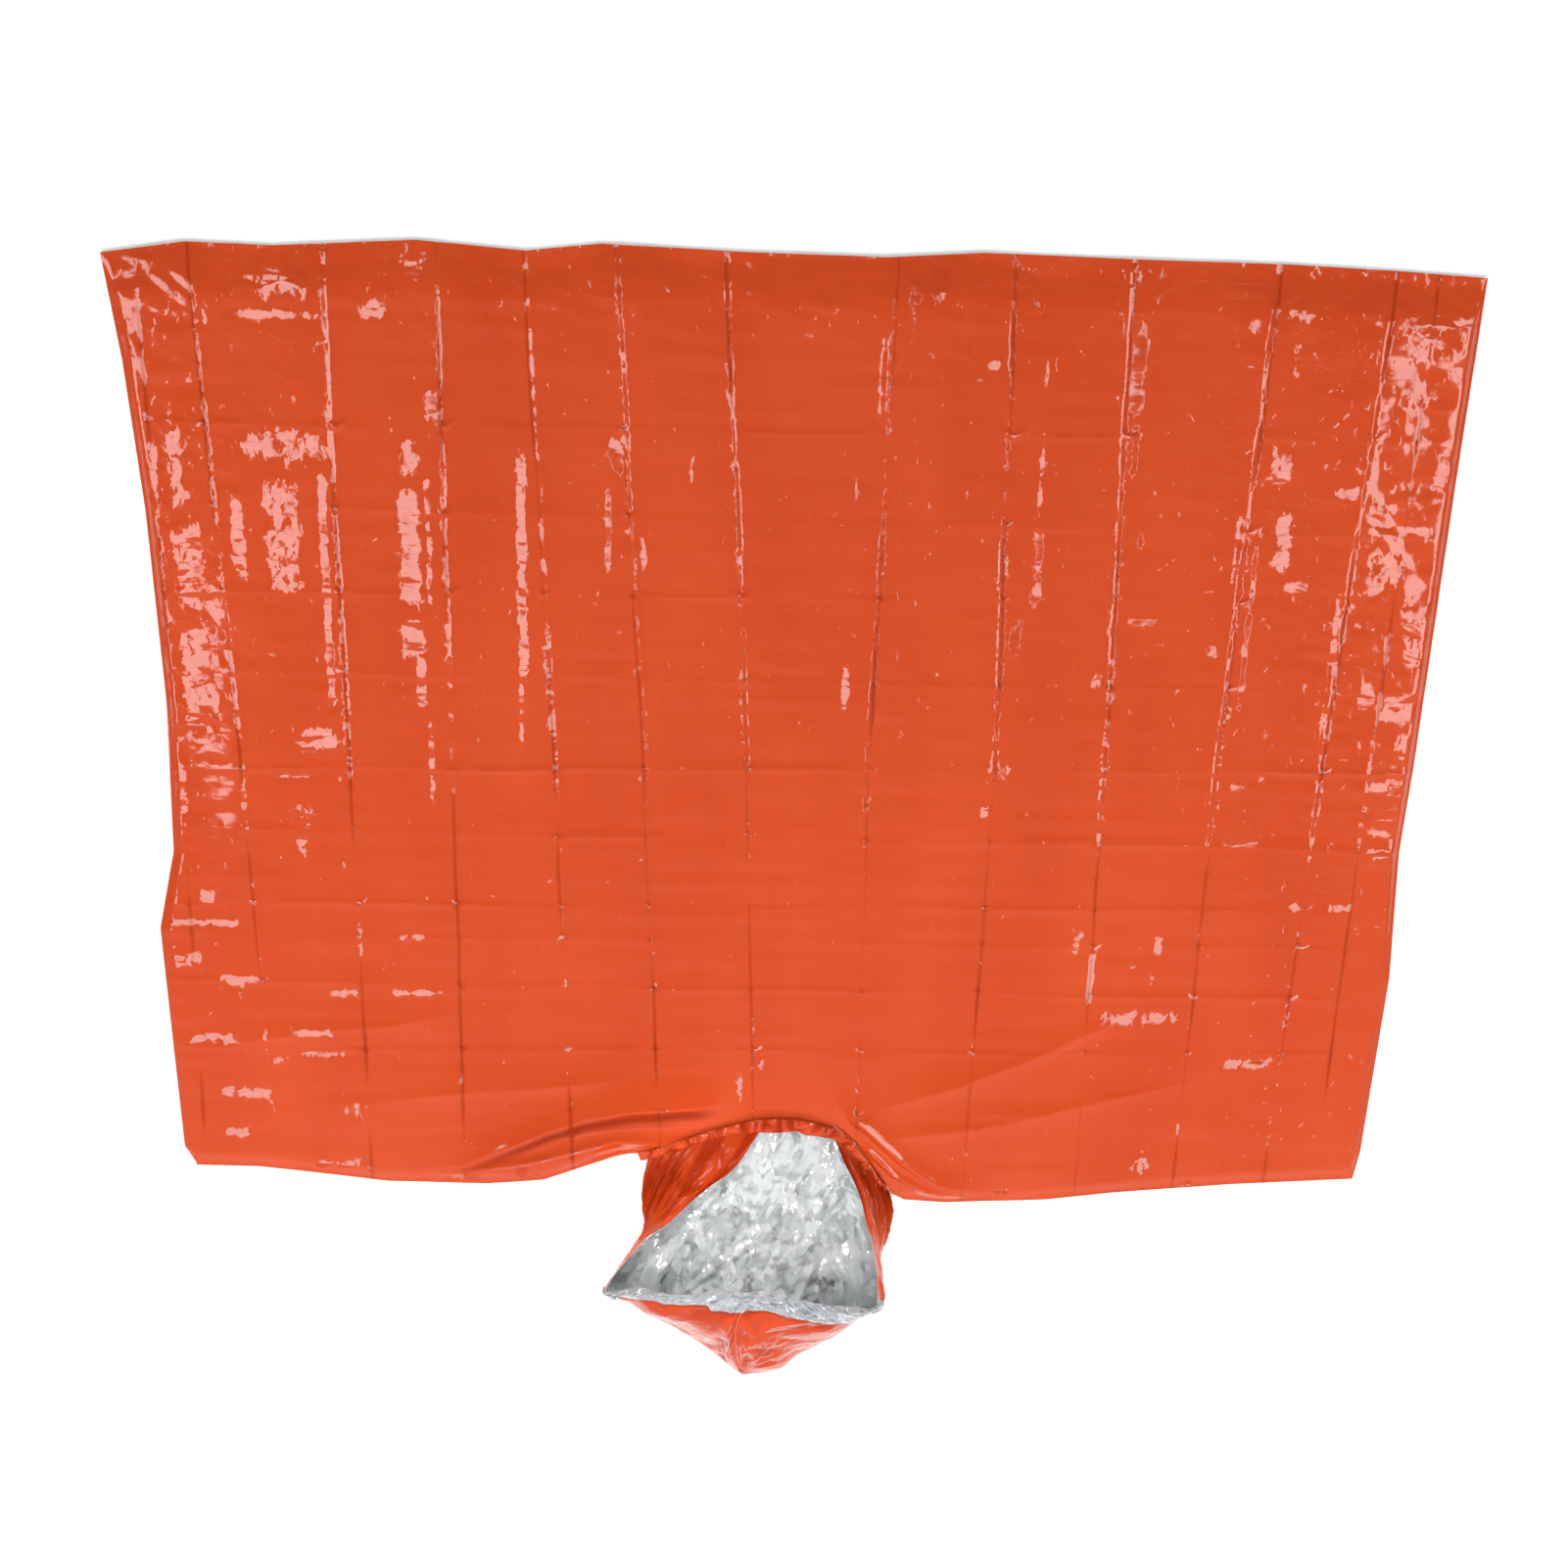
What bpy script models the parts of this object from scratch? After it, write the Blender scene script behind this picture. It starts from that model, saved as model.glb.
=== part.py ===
"""A hooded emergency bivy poncho of metallised film, laid out flat on its back.

The body is two films, front and back, welded together down the sides and along the
shoulders and open at the hem.  A hood made of two halves is welded to the neck.
The sack lies with +Z up: the hem mouth is at +Y, the hood at -Y, and the wearer's
left-hand side is at -X.  The origin is on the ground under the
middle of the body.  Lengths are in metres.

Each film is 0.05 mm thick in life.  It is drawn as a slab of FILM, which stands for
the depth that its small wrinkles take up.
"""
import math

import bmesh
import bpy
from mathutils import Vector

# The body
BODY_WIDTH = 1.27
BODY_LENGTH = 1.02
FILM = 0.0015            # depth taken up by one crinkled film
CAVITY = 0.008           # height of the air held between the films
SIDE_CREASE = 0.433      # from the centre line to the crease each side folds on
CREASE_GAP = 0.003       # left free along that crease, where the film bends
SEAL_WIDTH = 0.010
ARM_OPENING = 0.30       # unsealed length of each side, measured from the shoulder
TOUCH_GAP = 0.0003       # between pieces that meet

# The neck, a scoop in the front film
NECK_HALF_WIDTH = 0.132
NECK_DEPTH = 0.075
NECK_SEAL_WIDTH = 0.008
NECK_SEAL_HEIGHT = 0.004
NECK_ARC_POINTS = 24

# The hood
HOOD_GAP = 0.004         # from the shoulder edge to the hood's base, where the film bends
HOOD_LENGTH = 0.262      # from its base to its tip
HOOD_HALF_WIDTH = 0.148  # at the corners of the face opening
HOOD_HEIGHT = 0.074      # of the brow above the ground
HOOD_LEAN = 0.15         # sideways slope of its centre plane towards -X
HOOD_SEAL_THICKNESS = 0.0006
HOOD_SEAL_WIDTH = 0.004
HOOD_SPREAD = 0.0025     # extra room at the tip, where the halves draw together
CUFF_DEPTH = 0.020       # of the brow edge, turned back outside the hood
CUFF_GAP = 0.0022        # between the hood's outer surface and the turned-back edge
OUTER_FOLD_HEIGHT = 0.006    # of the fold where the back turns up into the side
SIDE_BULGE = 0.010           # of the side, between that fold and the rim

# Derived places
SHOULDER_Y = -BODY_LENGTH / 2
HEM_Y = BODY_LENGTH / 2
SIDE_X = BODY_WIDTH / 2
INNER_X = SIDE_CREASE - CREASE_GAP / 2
OUTER_X = SIDE_CREASE + CREASE_GAP / 2
FRONT_BOTTOM = FILM + CAVITY
FRONT_TOP = FRONT_BOTTOM + FILM
ARM_Y = SHOULDER_Y + ARM_OPENING
HOOD_Y = SHOULDER_Y - HOOD_GAP

# Stations along the hood, base first, as shares of HOOD_LENGTH, HOOD_HALF_WIDTH and
# HOOD_HEIGHT.  Each holds the length at the centre of the back, then the outer fold
# (half width, length), then the upper edge (half width, length, height).  The upper edge
# is the rim of the face opening as far as the brow, and the crown weld after it.
CORNER_STATION = 3
BROW_STATION = 6
HOOD_STATIONS = (
    (0.00, (NECK_HALF_WIDTH / HOOD_HALF_WIDTH, 0.00), (0.45, 0.00, 0.17)),
    (0.17, (0.85, 0.18), (0.62, 0.14, 0.36)),
    (0.34, (0.85, 0.35), (0.80, 0.28, 0.54)),
    (0.51, (0.91, 0.54), (1.00, 0.45, 0.68)),
    (0.66, (0.70, 0.69), (0.64, 0.43, 0.84)),
    (0.80, (0.43, 0.80), (0.30, 0.41, 0.95)),
    (0.90, (0.22, 0.92), (0.00, 0.40, 1.00)),
    (0.95, (0.12, 0.97), (0.00, 0.69, 0.60)),
    (0.98, (0.05, 1.00), (0.00, 0.95, 0.16)),
)

ORANGE = (0.76, 0.10, 0.03, 1.0)
SILVER = (0.75, 0.76, 0.78, 1.0)


def clear_scene():
    """Remove every object of the start-up scene."""
    for obj in list(bpy.data.objects):
        bpy.data.objects.remove(obj, do_unlink=True)


def plastic(name, colour, roughness, metallic):
    """A Principled material for one finish of the film."""
    material = bpy.data.materials.new(name)
    material.use_nodes = True
    shader = material.node_tree.nodes["Principled BSDF"]
    shader.inputs["Base Color"].default_value = colour
    shader.inputs["Roughness"].default_value = roughness
    shader.inputs["Metallic"].default_value = metallic
    return material


def add_mesh(name, bm, material, collection):
    """Turn a bmesh into a named object with its material."""
    mesh = bpy.data.meshes.new(name)
    bm.to_mesh(mesh)
    bm.free()
    mesh.materials.append(material)
    obj = bpy.data.objects.new(name, mesh)
    collection.objects.link(obj)
    return obj


def give_wall(obj, thickness, offset):
    """Give an open surface its thickness, to one side of it."""
    wall = obj.modifiers.new("wall", "SOLIDIFY")
    wall.thickness = thickness
    wall.offset = offset


def slab(name, low, high, material, collection):
    """A rectangular sheet between two opposite corners."""
    bm = bmesh.new()
    bmesh.ops.create_cube(bm, size=1.0)
    low, high = Vector(low), Vector(high)
    bmesh.ops.scale(bm, vec=high - low, verts=bm.verts)
    bmesh.ops.translate(bm, vec=(low + high) / 2, verts=bm.verts)
    return add_mesh(name, bm, material, collection)


def flat_outline(name, points, bottom, top, material, collection):
    """A flat sheet cut to an outline of (x, y) points."""
    curve = bpy.data.curves.new(name, "CURVE")
    curve.dimensions = "2D"
    curve.fill_mode = "BOTH"
    curve.extrude = (top - bottom) / 2
    spline = curve.splines.new("POLY")
    spline.points.add(len(points) - 1)
    for point, (x, y) in zip(spline.points, points):
        point.co = (x, y, 0.0, 1.0)
    spline.use_cyclic_u = True
    curve.materials.append(material)
    obj = bpy.data.objects.new(name, curve)
    obj.location.z = (bottom + top) / 2
    collection.objects.link(obj)
    return obj


def neck_arc(inset):
    """Points of the neck scoop from -X to +X, kept inset from the front film's edge."""
    half = NECK_HALF_WIDTH - inset
    depth = NECK_DEPTH - inset
    points = []
    for step in range(NECK_ARC_POINTS + 1):
        angle = math.pi * step / NECK_ARC_POINTS
        points.append((-half * math.cos(angle), SHOULDER_Y + depth * math.sin(angle)))
    return points


def body_films(collection, film):
    """The front and back films, each in a middle and two sides that fold on a crease."""
    front = [(-INNER_X, HEM_Y), (-INNER_X, SHOULDER_Y)]
    front += neck_arc(0.0)
    front += [(INNER_X, SHOULDER_Y), (INNER_X, HEM_Y)]
    flat_outline("front_panel_middle", front, FRONT_BOTTOM, FRONT_TOP, film, collection)
    slab("back_panel_middle", (-INNER_X, SHOULDER_Y, 0.0), (INNER_X, HEM_Y, FILM), film,
         collection)
    for side, low_x, high_x in (("left", -SIDE_X, -OUTER_X), ("right", OUTER_X, SIDE_X)):
        slab(f"front_panel_{side}", (low_x, SHOULDER_Y, FRONT_BOTTOM),
             (high_x, HEM_Y, FRONT_TOP), film, collection)
        slab(f"back_panel_{side}", (low_x, SHOULDER_Y, 0.0), (high_x, HEM_Y, FILM), film,
             collection)


def body_seals(collection, film):
    """The welded bands between the films, down each side and along the shoulders."""
    low_z = FILM + TOUCH_GAP
    high_z = FRONT_BOTTOM - TOUCH_GAP
    seal_y = SHOULDER_Y + SEAL_WIDTH
    for side, sign in (("left", -1), ("right", 1)):
        edge = sorted((sign * SIDE_X, sign * (SIDE_X - SEAL_WIDTH)))
        slab(f"{side}_side_seal", (edge[0], ARM_Y, low_z), (edge[1], HEM_Y, high_z), film,
             collection)
        inner = sorted((sign * (NECK_HALF_WIDTH + SEAL_WIDTH), sign * INNER_X))
        slab(f"{side}_shoulder_seal", (inner[0], SHOULDER_Y, low_z),
             (inner[1], seal_y, high_z), film, collection)
        outer = sorted((sign * OUTER_X, sign * SIDE_X))
        slab(f"{side}_shoulder_seal_outer", (outer[0], SHOULDER_Y, low_z),
             (outer[1], seal_y, high_z), film, collection)


def neck_seal(collection, film):
    """The raised band that joins the hood's front edge to the neck scoop."""
    outer = neck_arc(TOUCH_GAP)
    inner = neck_arc(TOUCH_GAP + NECK_SEAL_WIDTH)
    flat_outline("neck_seal", outer + inner[::-1], FRONT_BOTTOM,
                 FRONT_BOTTOM + NECK_SEAL_HEIGHT, film, collection)


def hood_point(sign, half_share, length_share, height):
    """A point of the hood's inner surface on one side of its centre weld."""
    length = length_share * HOOD_LENGTH
    from_seam = half_share * HOOD_HALF_WIDTH + HOOD_SEAL_THICKNESS / 2 + TOUCH_GAP
    return Vector((sign * from_seam - HOOD_LEAN * length, HOOD_Y - length, height))


def hood_section(sign, station):
    """One cross-section: centre back, floor, outer fold, bulging side, upper edge."""
    back_length, (outer_half, outer_length), (upper_half, upper_length, upper_height) = station
    back = hood_point(sign, 0.0, back_length, FILM)
    fold = hood_point(sign, outer_half, outer_length, OUTER_FOLD_HEIGHT)
    upper = hood_point(sign, upper_half, upper_length, upper_height * HOOD_HEIGHT)
    floor = back.lerp(fold, 0.6)
    floor.z = FILM
    bulge = fold.lerp(upper, 0.5)
    bulge.x += sign * SIDE_BULGE * outer_half
    return [back, floor, fold, bulge, upper]


def hood_sections(sign):
    """Every cross-section of one half of the hood, from its base to its tip."""
    sections = [hood_section(sign, station) for station in HOOD_STATIONS]
    sections[-1] = [point + Vector((sign * HOOD_SPREAD, 0, 0)) for point in sections[-1]]
    return sections


def loft(name, sections, sign, collection, film):
    """A smooth wall through matching sections, facing out on the side of sign."""
    bm = bmesh.new()
    rows = [[bm.verts.new(point) for point in section] for section in sections]
    for row, following in zip(rows, rows[1:]):
        for place in range(len(row) - 1):
            corners = [row[place], row[place + 1], following[place + 1], following[place]]
            bm.faces.new(corners if sign > 0 else corners[::-1])
    obj = add_mesh(name, bm, film, collection)
    smooth = obj.modifiers.new("smooth", "SUBSURF")
    smooth.levels = 1
    smooth.render_levels = 1
    smooth.boundary_smooth = "PRESERVE_CORNERS"
    give_wall(obj, FILM, 1.0)
    return obj


def hood_cuff(name, sign, sections, collection, film):
    """The brow edge of one half, turned back outside it from the corner to the weld."""
    strip = []
    for number in range(CORNER_STATION, BROW_STATION + 1):
        section = sections[number]
        before = sections[number - 1][-1]
        after = sections[min(number + 1, BROW_STATION)][-1]
        down = (section[-2] - section[-1]).normalized()
        outward = sign * (after - before).cross(down).normalized()
        top = section[-1] + outward * (FILM + CUFF_GAP)
        strip.append([top + down * CUFF_DEPTH, top])
    return loft(name, strip, sign, collection, film)


def centre_line():
    """Points (length, z) of the hood's centre weld: brow, crown, tip, along the back."""
    points = []
    for _, _, (_, length_share, height_share) in HOOD_STATIONS[BROW_STATION:]:
        points.append((length_share * HOOD_LENGTH, height_share * HOOD_HEIGHT))
    for station in reversed(HOOD_STATIONS[:-1]):
        points.append((station[0] * HOOD_LENGTH, FILM))
    return points


def hood_seal(collection, film):
    """The weld that joins the hood's halves: a thin fin on their common plane."""
    line = centre_line()
    bm = bmesh.new()
    pairs = []
    for number, place in enumerate(line):
        before = Vector(line[max(number - 1, 0)])
        after = Vector(line[min(number + 1, len(line) - 1)])
        along = (after - before).normalized()
        across = Vector((-along.y, along.x)) * HOOD_SEAL_WIDTH / 2
        pair = []
        for length, height in (Vector(place) - across, Vector(place) + across):
            pair.append(bm.verts.new((-HOOD_LEAN * length, HOOD_Y - length, max(height, 0.0))))
        pairs.append(pair)
    for pair, following in zip(pairs, pairs[1:]):
        bm.faces.new((pair[0], pair[1], following[1], following[0]))
    obj = add_mesh("hood_centre_seal", bm, film, collection)
    give_wall(obj, HOOD_SEAL_THICKNESS, 0.0)


def main():
    clear_scene()
    collection = bpy.data.collections.new("bivy_poncho")
    bpy.context.scene.collection.children.link(collection)
    film = plastic("orange_film", ORANGE, 0.25, 0.0)
    seal = plastic("welded_film", ORANGE, 0.35, 0.0)
    lining = plastic("silver_lining", SILVER, 0.2, 1.0)
    body_films(collection, film)
    body_seals(collection, seal)
    neck_seal(collection, seal)
    for side, sign in (("left", -1), ("right", 1)):
        sections = hood_sections(sign)
        loft(f"hood_{side}_half", sections, sign, collection, film)
        hood_cuff(f"hood_{side}_cuff", sign, sections, collection, lining)
    hood_seal(collection, seal)


main()
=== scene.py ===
"""The looks of a hooded emergency bivy poncho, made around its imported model.

The poncho is blown polyethylene film, orange outside and vacuum-metallised inside, that
has just been unfolded and laid on the ground.  Lengths are in metres, +Z is up, the hem
is at +Y and the hood at -Y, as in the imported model.
"""
from __future__ import annotations

import logging
import math
from dataclasses import dataclass, field
from enum import Enum

import bpy
import numpy as np
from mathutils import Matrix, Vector

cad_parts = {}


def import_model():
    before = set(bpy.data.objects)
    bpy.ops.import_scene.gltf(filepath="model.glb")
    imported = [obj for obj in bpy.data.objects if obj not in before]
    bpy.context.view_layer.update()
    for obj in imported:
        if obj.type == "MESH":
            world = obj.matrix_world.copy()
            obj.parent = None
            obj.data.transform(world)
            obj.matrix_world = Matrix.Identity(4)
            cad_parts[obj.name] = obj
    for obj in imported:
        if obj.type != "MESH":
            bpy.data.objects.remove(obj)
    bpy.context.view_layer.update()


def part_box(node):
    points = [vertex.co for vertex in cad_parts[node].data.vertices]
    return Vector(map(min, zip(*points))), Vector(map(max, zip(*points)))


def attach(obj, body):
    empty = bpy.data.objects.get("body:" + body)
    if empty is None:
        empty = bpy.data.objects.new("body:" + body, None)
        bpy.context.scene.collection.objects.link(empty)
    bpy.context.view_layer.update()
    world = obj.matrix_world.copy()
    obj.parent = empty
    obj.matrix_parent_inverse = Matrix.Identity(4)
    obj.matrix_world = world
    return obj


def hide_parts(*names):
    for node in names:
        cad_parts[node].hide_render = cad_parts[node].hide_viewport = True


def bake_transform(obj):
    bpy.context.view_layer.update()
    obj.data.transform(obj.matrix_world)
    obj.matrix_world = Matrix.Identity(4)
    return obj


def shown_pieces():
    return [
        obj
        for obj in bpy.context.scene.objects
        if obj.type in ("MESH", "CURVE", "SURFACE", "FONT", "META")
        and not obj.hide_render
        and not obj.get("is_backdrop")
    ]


log = logging.getLogger("bivy_poncho")

FILM_THICKNESS = 0.0003  # drawn six times the real 0.05 mm, so that its rim holds in a mesh
GROUND_CLEARANCE = 0.0007  # the lowest the outer face of the film comes
HALF_LENGTH = 0.505  # of the body's films, laid flat
NECK_MIDDLE = -0.005  # where the middle of the neck lies across the body


def linear(hex_colour: str) -> tuple[float, float, float, float]:
    """Turn an sRGB hex colour into the linear RGBA that a shader takes.

    Args:
        hex_colour: six hex digits, with or without a leading #.

    Returns:
        The linear red, green and blue, and an alpha of one.
    """
    digits = hex_colour.lstrip("#")
    channels = [int(digits[place:place + 2], 16) / 255 for place in (0, 2, 4)]
    bent = [c / 12.92 if c <= 0.04045 else ((c + 0.055) / 1.055) ** 2.4 for c in channels]
    return (bent[0], bent[1], bent[2], 1.0)


def eased(value: np.ndarray) -> np.ndarray:
    """Clamp to 0..1 and ease in and out."""
    share = np.clip(value, 0.0, 1.0)
    return share * share * (3 - 2 * share)


def ridge(distance: np.ndarray, width: float) -> np.ndarray:
    """The height, from 0 to 1, of a sharp-topped ridge at a distance from its line."""
    tip = 0.35 * width
    return np.exp(-(np.sqrt(distance * distance + tip * tip) - tip) / width)


def on_line(line: tuple, at: np.ndarray) -> np.ndarray:
    """Read a bent line, given by its corners, at each place."""
    return np.interp(at, *zip(*line))


class Crumple:
    """Seeded height fields of a creased film, worked out for whole arrays at once."""

    SIZE = 512

    def __init__(self, seed: int) -> None:
        """Draw the lattice's order and heights from the seed."""
        draw = np.random.default_rng(seed)
        self.order = draw.permutation(self.SIZE)
        self.heights = draw.uniform(-1.0, 1.0, self.SIZE)

    def knot(self, i: np.ndarray, j: np.ndarray) -> np.ndarray:
        """The height of the lattice points i across and j along, from -1 to 1."""
        return self.heights[self.order[(self.order[i % self.SIZE] + j) % self.SIZE]]

    def rolling(self, x: np.ndarray, y: np.ndarray) -> np.ndarray:
        """Smooth waves with a cell of one unit.

        Args:
            x: places across the field, in cells.
            y: places along the field, in cells.

        Returns:
            The height there, from -1 to 1.
        """
        i, j = np.floor(x).astype(int), np.floor(y).astype(int)
        u, v = eased(x - i), eased(y - j)
        low = self.knot(i, j) * (1 - u) + self.knot(i + 1, j) * u
        high = self.knot(i, j + 1) * (1 - u) + self.knot(i + 1, j + 1) * u
        return low * (1 - v) + high * v

    def faceted(self, x: np.ndarray, y: np.ndarray) -> np.ndarray:
        """Flat facets with sharp edges and a cell of about one unit.

        Args:
            x: places across the field, in cells.
            y: places along the field, in cells.

        Returns:
            The height there, from -1 to 1.
        """
        bent_x = x + 0.7 * self.rolling(0.55 * x + 31.7, 0.55 * y)
        bent_y = y + 0.7 * self.rolling(0.55 * x, 0.55 * y + 57.1)
        i, j = np.floor(bent_x).astype(int), np.floor(bent_y).astype(int)
        u, v = bent_x - i, bent_y - j
        near, across = self.knot(i, j), self.knot(i + 1, j)
        along, far = self.knot(i, j + 1), self.knot(i + 1, j + 1)
        lower = near + u * (across - near) + v * (along - near)
        upper = far + (1 - u) * (along - far) + (1 - v) * (across - far)
        return np.where(u + v < 1, lower, upper)


# ---------------------------------------------------------------- finishes


def add_node(material: bpy.types.Material | bpy.types.World, kind: str,
             settings: dict | None = None, links: dict | None = None) -> bpy.types.Node:
    """Add one shader node with its settings and its input links.

    Args:
        material: the material or world whose tree takes the node.
        kind: the node's type name.
        settings: attribute names, or input socket names or places, to their values.
        links: input socket names or places to the (node, output) that feeds each.

    Returns:
        The new node.
    """
    tree = material.node_tree
    node = tree.nodes.new(kind)
    for name, value in (settings or {}).items():
        if isinstance(name, str) and hasattr(node, name):
            setattr(node, name, value)
        else:
            node.inputs[name].default_value = value
    for name, (source, output) in (links or {}).items():
        tree.links.new(source.outputs[output], node.inputs[name])
    return node


def bare_material(name: str) -> tuple[bpy.types.Material, bpy.types.Node]:
    """A new material and its Principled BSDF."""
    material = bpy.data.materials.new(name)
    material.use_nodes = True
    return material, material.node_tree.nodes["Principled BSDF"]


def facets(material: bpy.types.Material, cells: tuple[float, float], lean: float,
           under: bpy.types.Node | None = None,
           amount: bpy.types.Node | None = None) -> bpy.types.Node:
    """Tip the surface in flat facets with sharp creases between them.

    Args:
        material: the material, whose object has the film's UV map in metres.
        cells: how many facets there are to a metre across and along the film.
        lean: the steepest slope of a facet.
        under: a bump node whose relief the facets are added to.
        amount: a node whose Fac output scales the slope from point to point.

    Returns:
        The bump node.
    """
    place = add_node(material, "ShaderNodeUVMap", {"uv_map": "film"})
    scaled = add_node(material, "ShaderNodeMapping", {"Scale": (cells[0], cells[1], 1.0)},
                      {"Vector": (place, "UV")})
    bent = add_node(material, "ShaderNodeTexNoise", {"Scale": 0.9, "Detail": 1.0},
                    {"Vector": (scaled, "Vector")})
    moved = add_node(material, "ShaderNodeVectorMath", {"operation": "ADD"},
                     {0: (scaled, "Vector"), 1: (bent, "Color")})
    cell = add_node(material, "ShaderNodeTexVoronoi", {"voronoi_dimensions": "2D", "Scale": 1.0},
                    {"Vector": (moved, "Vector")})
    offset = add_node(material, "ShaderNodeVectorMath", {"operation": "SUBTRACT"},
                      {0: (moved, "Vector"), 1: (cell, "Position")})
    slope = add_node(material, "ShaderNodeVectorMath", {"operation": "SUBTRACT",
                                                        1: (0.5, 0.5, 0.5)}, {0: (cell, "Color")})
    height = add_node(material, "ShaderNodeVectorMath", {"operation": "DOT_PRODUCT"},
                      {0: (offset, "Vector"), 1: (slope, "Vector")})
    links = {"Height": (height, "Value")}
    if under:
        links["Normal"] = (under, "Normal")
    if amount:
        links["Strength"] = (amount, "Fac")
    return add_node(material, "ShaderNodeBump", {"Distance": 2 * lean / max(cells)}, links)


@dataclass(frozen=True)
class PigmentedFilm:
    """Blown low-density polyethylene film, pigmented orange, as its outer face shows.

    Blowing leaves it smooth and glossy, so it mirrors the lamps in crisp patches.
    Its colour runs paler in uneven clouds of pigment, and its creases carry painted shade: a deeper
    colour and a duller gloss.
    """

    name: str = "orange_polyethylene_film"
    body: str = "#C43A0B"
    # painted shade, laid into the creases
    painted_crease_shade: str = "#962807"
    pale: str = "#D54E17"
    roughness: float = 0.08
    ior: float = 1.51
    wrinkle_per_m: float = 260.0   # crosswise drawing wrinkles about 4 mm apart
    wrinkle_height: float = 0.00010
    facets_per_m: tuple = (34.0, 95.0)   # handling creases, longer across than along
    facet_lean: float = 0.105
    fray_per_m: tuple = (110.0, 62.0)    # of the ragged edges of the tipped places
    clouds_per_m: tuple = (9.0, 2.5)     # of the uneven pigment, drawn out along the web
    specular: float = 0.5                # of the open face
    crease_specular: float = 0.12        # where a crease hides the lamps

    def make(self) -> bpy.types.Material:
        """Build the shader.

        Returns:
            The material, which reads the film's UV map in metres and its attributes.
        """
        material, shader = bare_material(self.name)
        self.pigment(material, shader)
        self.crumple(material, shader)
        shader.inputs["Roughness"].default_value = self.roughness
        shader.inputs["IOR"].default_value = self.ior
        return material

    def pigment(self, material: bpy.types.Material, shader: bpy.types.Node) -> None:
        """Colour the film, with painted shade that deepens it in its creases, and dull the creases'
        gloss.

        Args:
            material: the film's material.
            shader: its Principled BSDF.
        """
        place = add_node(material, "ShaderNodeUVMap", {"uv_map": "film"})
        # the crease depth, mapped to how much painted shade lies there
        crease = add_node(material, "ShaderNodeAttribute", {"attribute_name": "crease"})
        line = add_node(material, "ShaderNodeMapRange", {"From Min": 0.22, "From Max": 1.0},
                        {"Value": (crease, "Fac")})
        drawn = add_node(material, "ShaderNodeMapping", {"Scale": (*self.clouds_per_m, 1.0)},
                         {"Vector": (place, "UV")})
        cloud = add_node(material, "ShaderNodeTexNoise", {"Scale": 1.0, "Detail": 4.0},
                         {"Vector": (drawn, "Vector")})
        tone = add_node(material, "ShaderNodeMix", {"data_type": "RGBA", 6: linear(self.body),
                                                    7: linear(self.pale)}, {0: (cloud, "Fac")})
        colour = add_node(material, "ShaderNodeMix", {"data_type": "RGBA", 7: linear(self.painted_crease_shade)},
                          {0: (line, "Result"), 6: (tone, 2)})
        gloss = add_node(material, "ShaderNodeMapRange",
                         {"To Min": self.specular, "To Max": self.crease_specular},
                         {"Value": (line, "Result")})
        links = material.node_tree.links
        links.new(colour.outputs[2], shader.inputs["Base Color"])
        links.new(gloss.outputs["Result"], shader.inputs["Specular IOR Level"])

    def crumple(self, material: bpy.types.Material, shader: bpy.types.Node) -> None:
        """Lean the tipped places outwards, then add the facets and the fine wrinkles.

        Args:
            material: the film's material.
            shader: its Principled BSDF.
        """
        place = add_node(material, "ShaderNodeUVMap", {"uv_map": "film"})
        handled = add_node(material, "ShaderNodeAttribute", {"attribute_name": "handled"})
        tipped = add_node(material, "ShaderNodeAttribute", {"attribute_name": "tipped"})
        spaced = add_node(material, "ShaderNodeMapping", {"Scale": (*self.fray_per_m, 1.0)},
                          {"Vector": (place, "UV")})
        fray = add_node(material, "ShaderNodeTexNoise",
                        {"Scale": 1.0, "Detail": 6.0, "Roughness": 0.68, "Distortion": 0.5},
                        {"Vector": (spaced, "Vector")})
        torn = add_node(material, "ShaderNodeMath", {"operation": "MULTIPLY_ADD", 1: 2.6,
                                                     2: -1.3}, {0: (fray, "Fac")})
        level = add_node(material, "ShaderNodeMath", {"operation": "ADD"},
                         {0: (handled, "Fac"), 1: (torn, "Value")})
        crisp = add_node(material, "ShaderNodeMapRange", {"From Min": 0.45, "From Max": 0.60},
                         {"Value": (level, "Value")})
        lean = add_node(material, "ShaderNodeBump", {"Distance": 1.0},
                        {"Height": (tipped, "Fac"), "Strength": (crisp, "Result")})
        coarse = facets(material, self.facets_per_m, self.facet_lean, lean, handled)
        stretched = add_node(material, "ShaderNodeMapping", {"Scale": (0.20, 1.0, 1.0)},
                             {"Vector": (place, "UV")})
        wrinkle = add_node(material, "ShaderNodeTexNoise",
                           {"Scale": self.wrinkle_per_m, "Detail": 2.0, "Roughness": 0.45},
                           {"Vector": (stretched, "Vector")})
        fine = add_node(material, "ShaderNodeBump", {"Distance": self.wrinkle_height},
                        {"Height": (wrinkle, "Fac"), "Normal": (coarse, "Normal"),
                         "Strength": (handled, "Fac")})
        material.node_tree.links.new(fine.outputs["Normal"], shader.inputs["Normal"])


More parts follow.
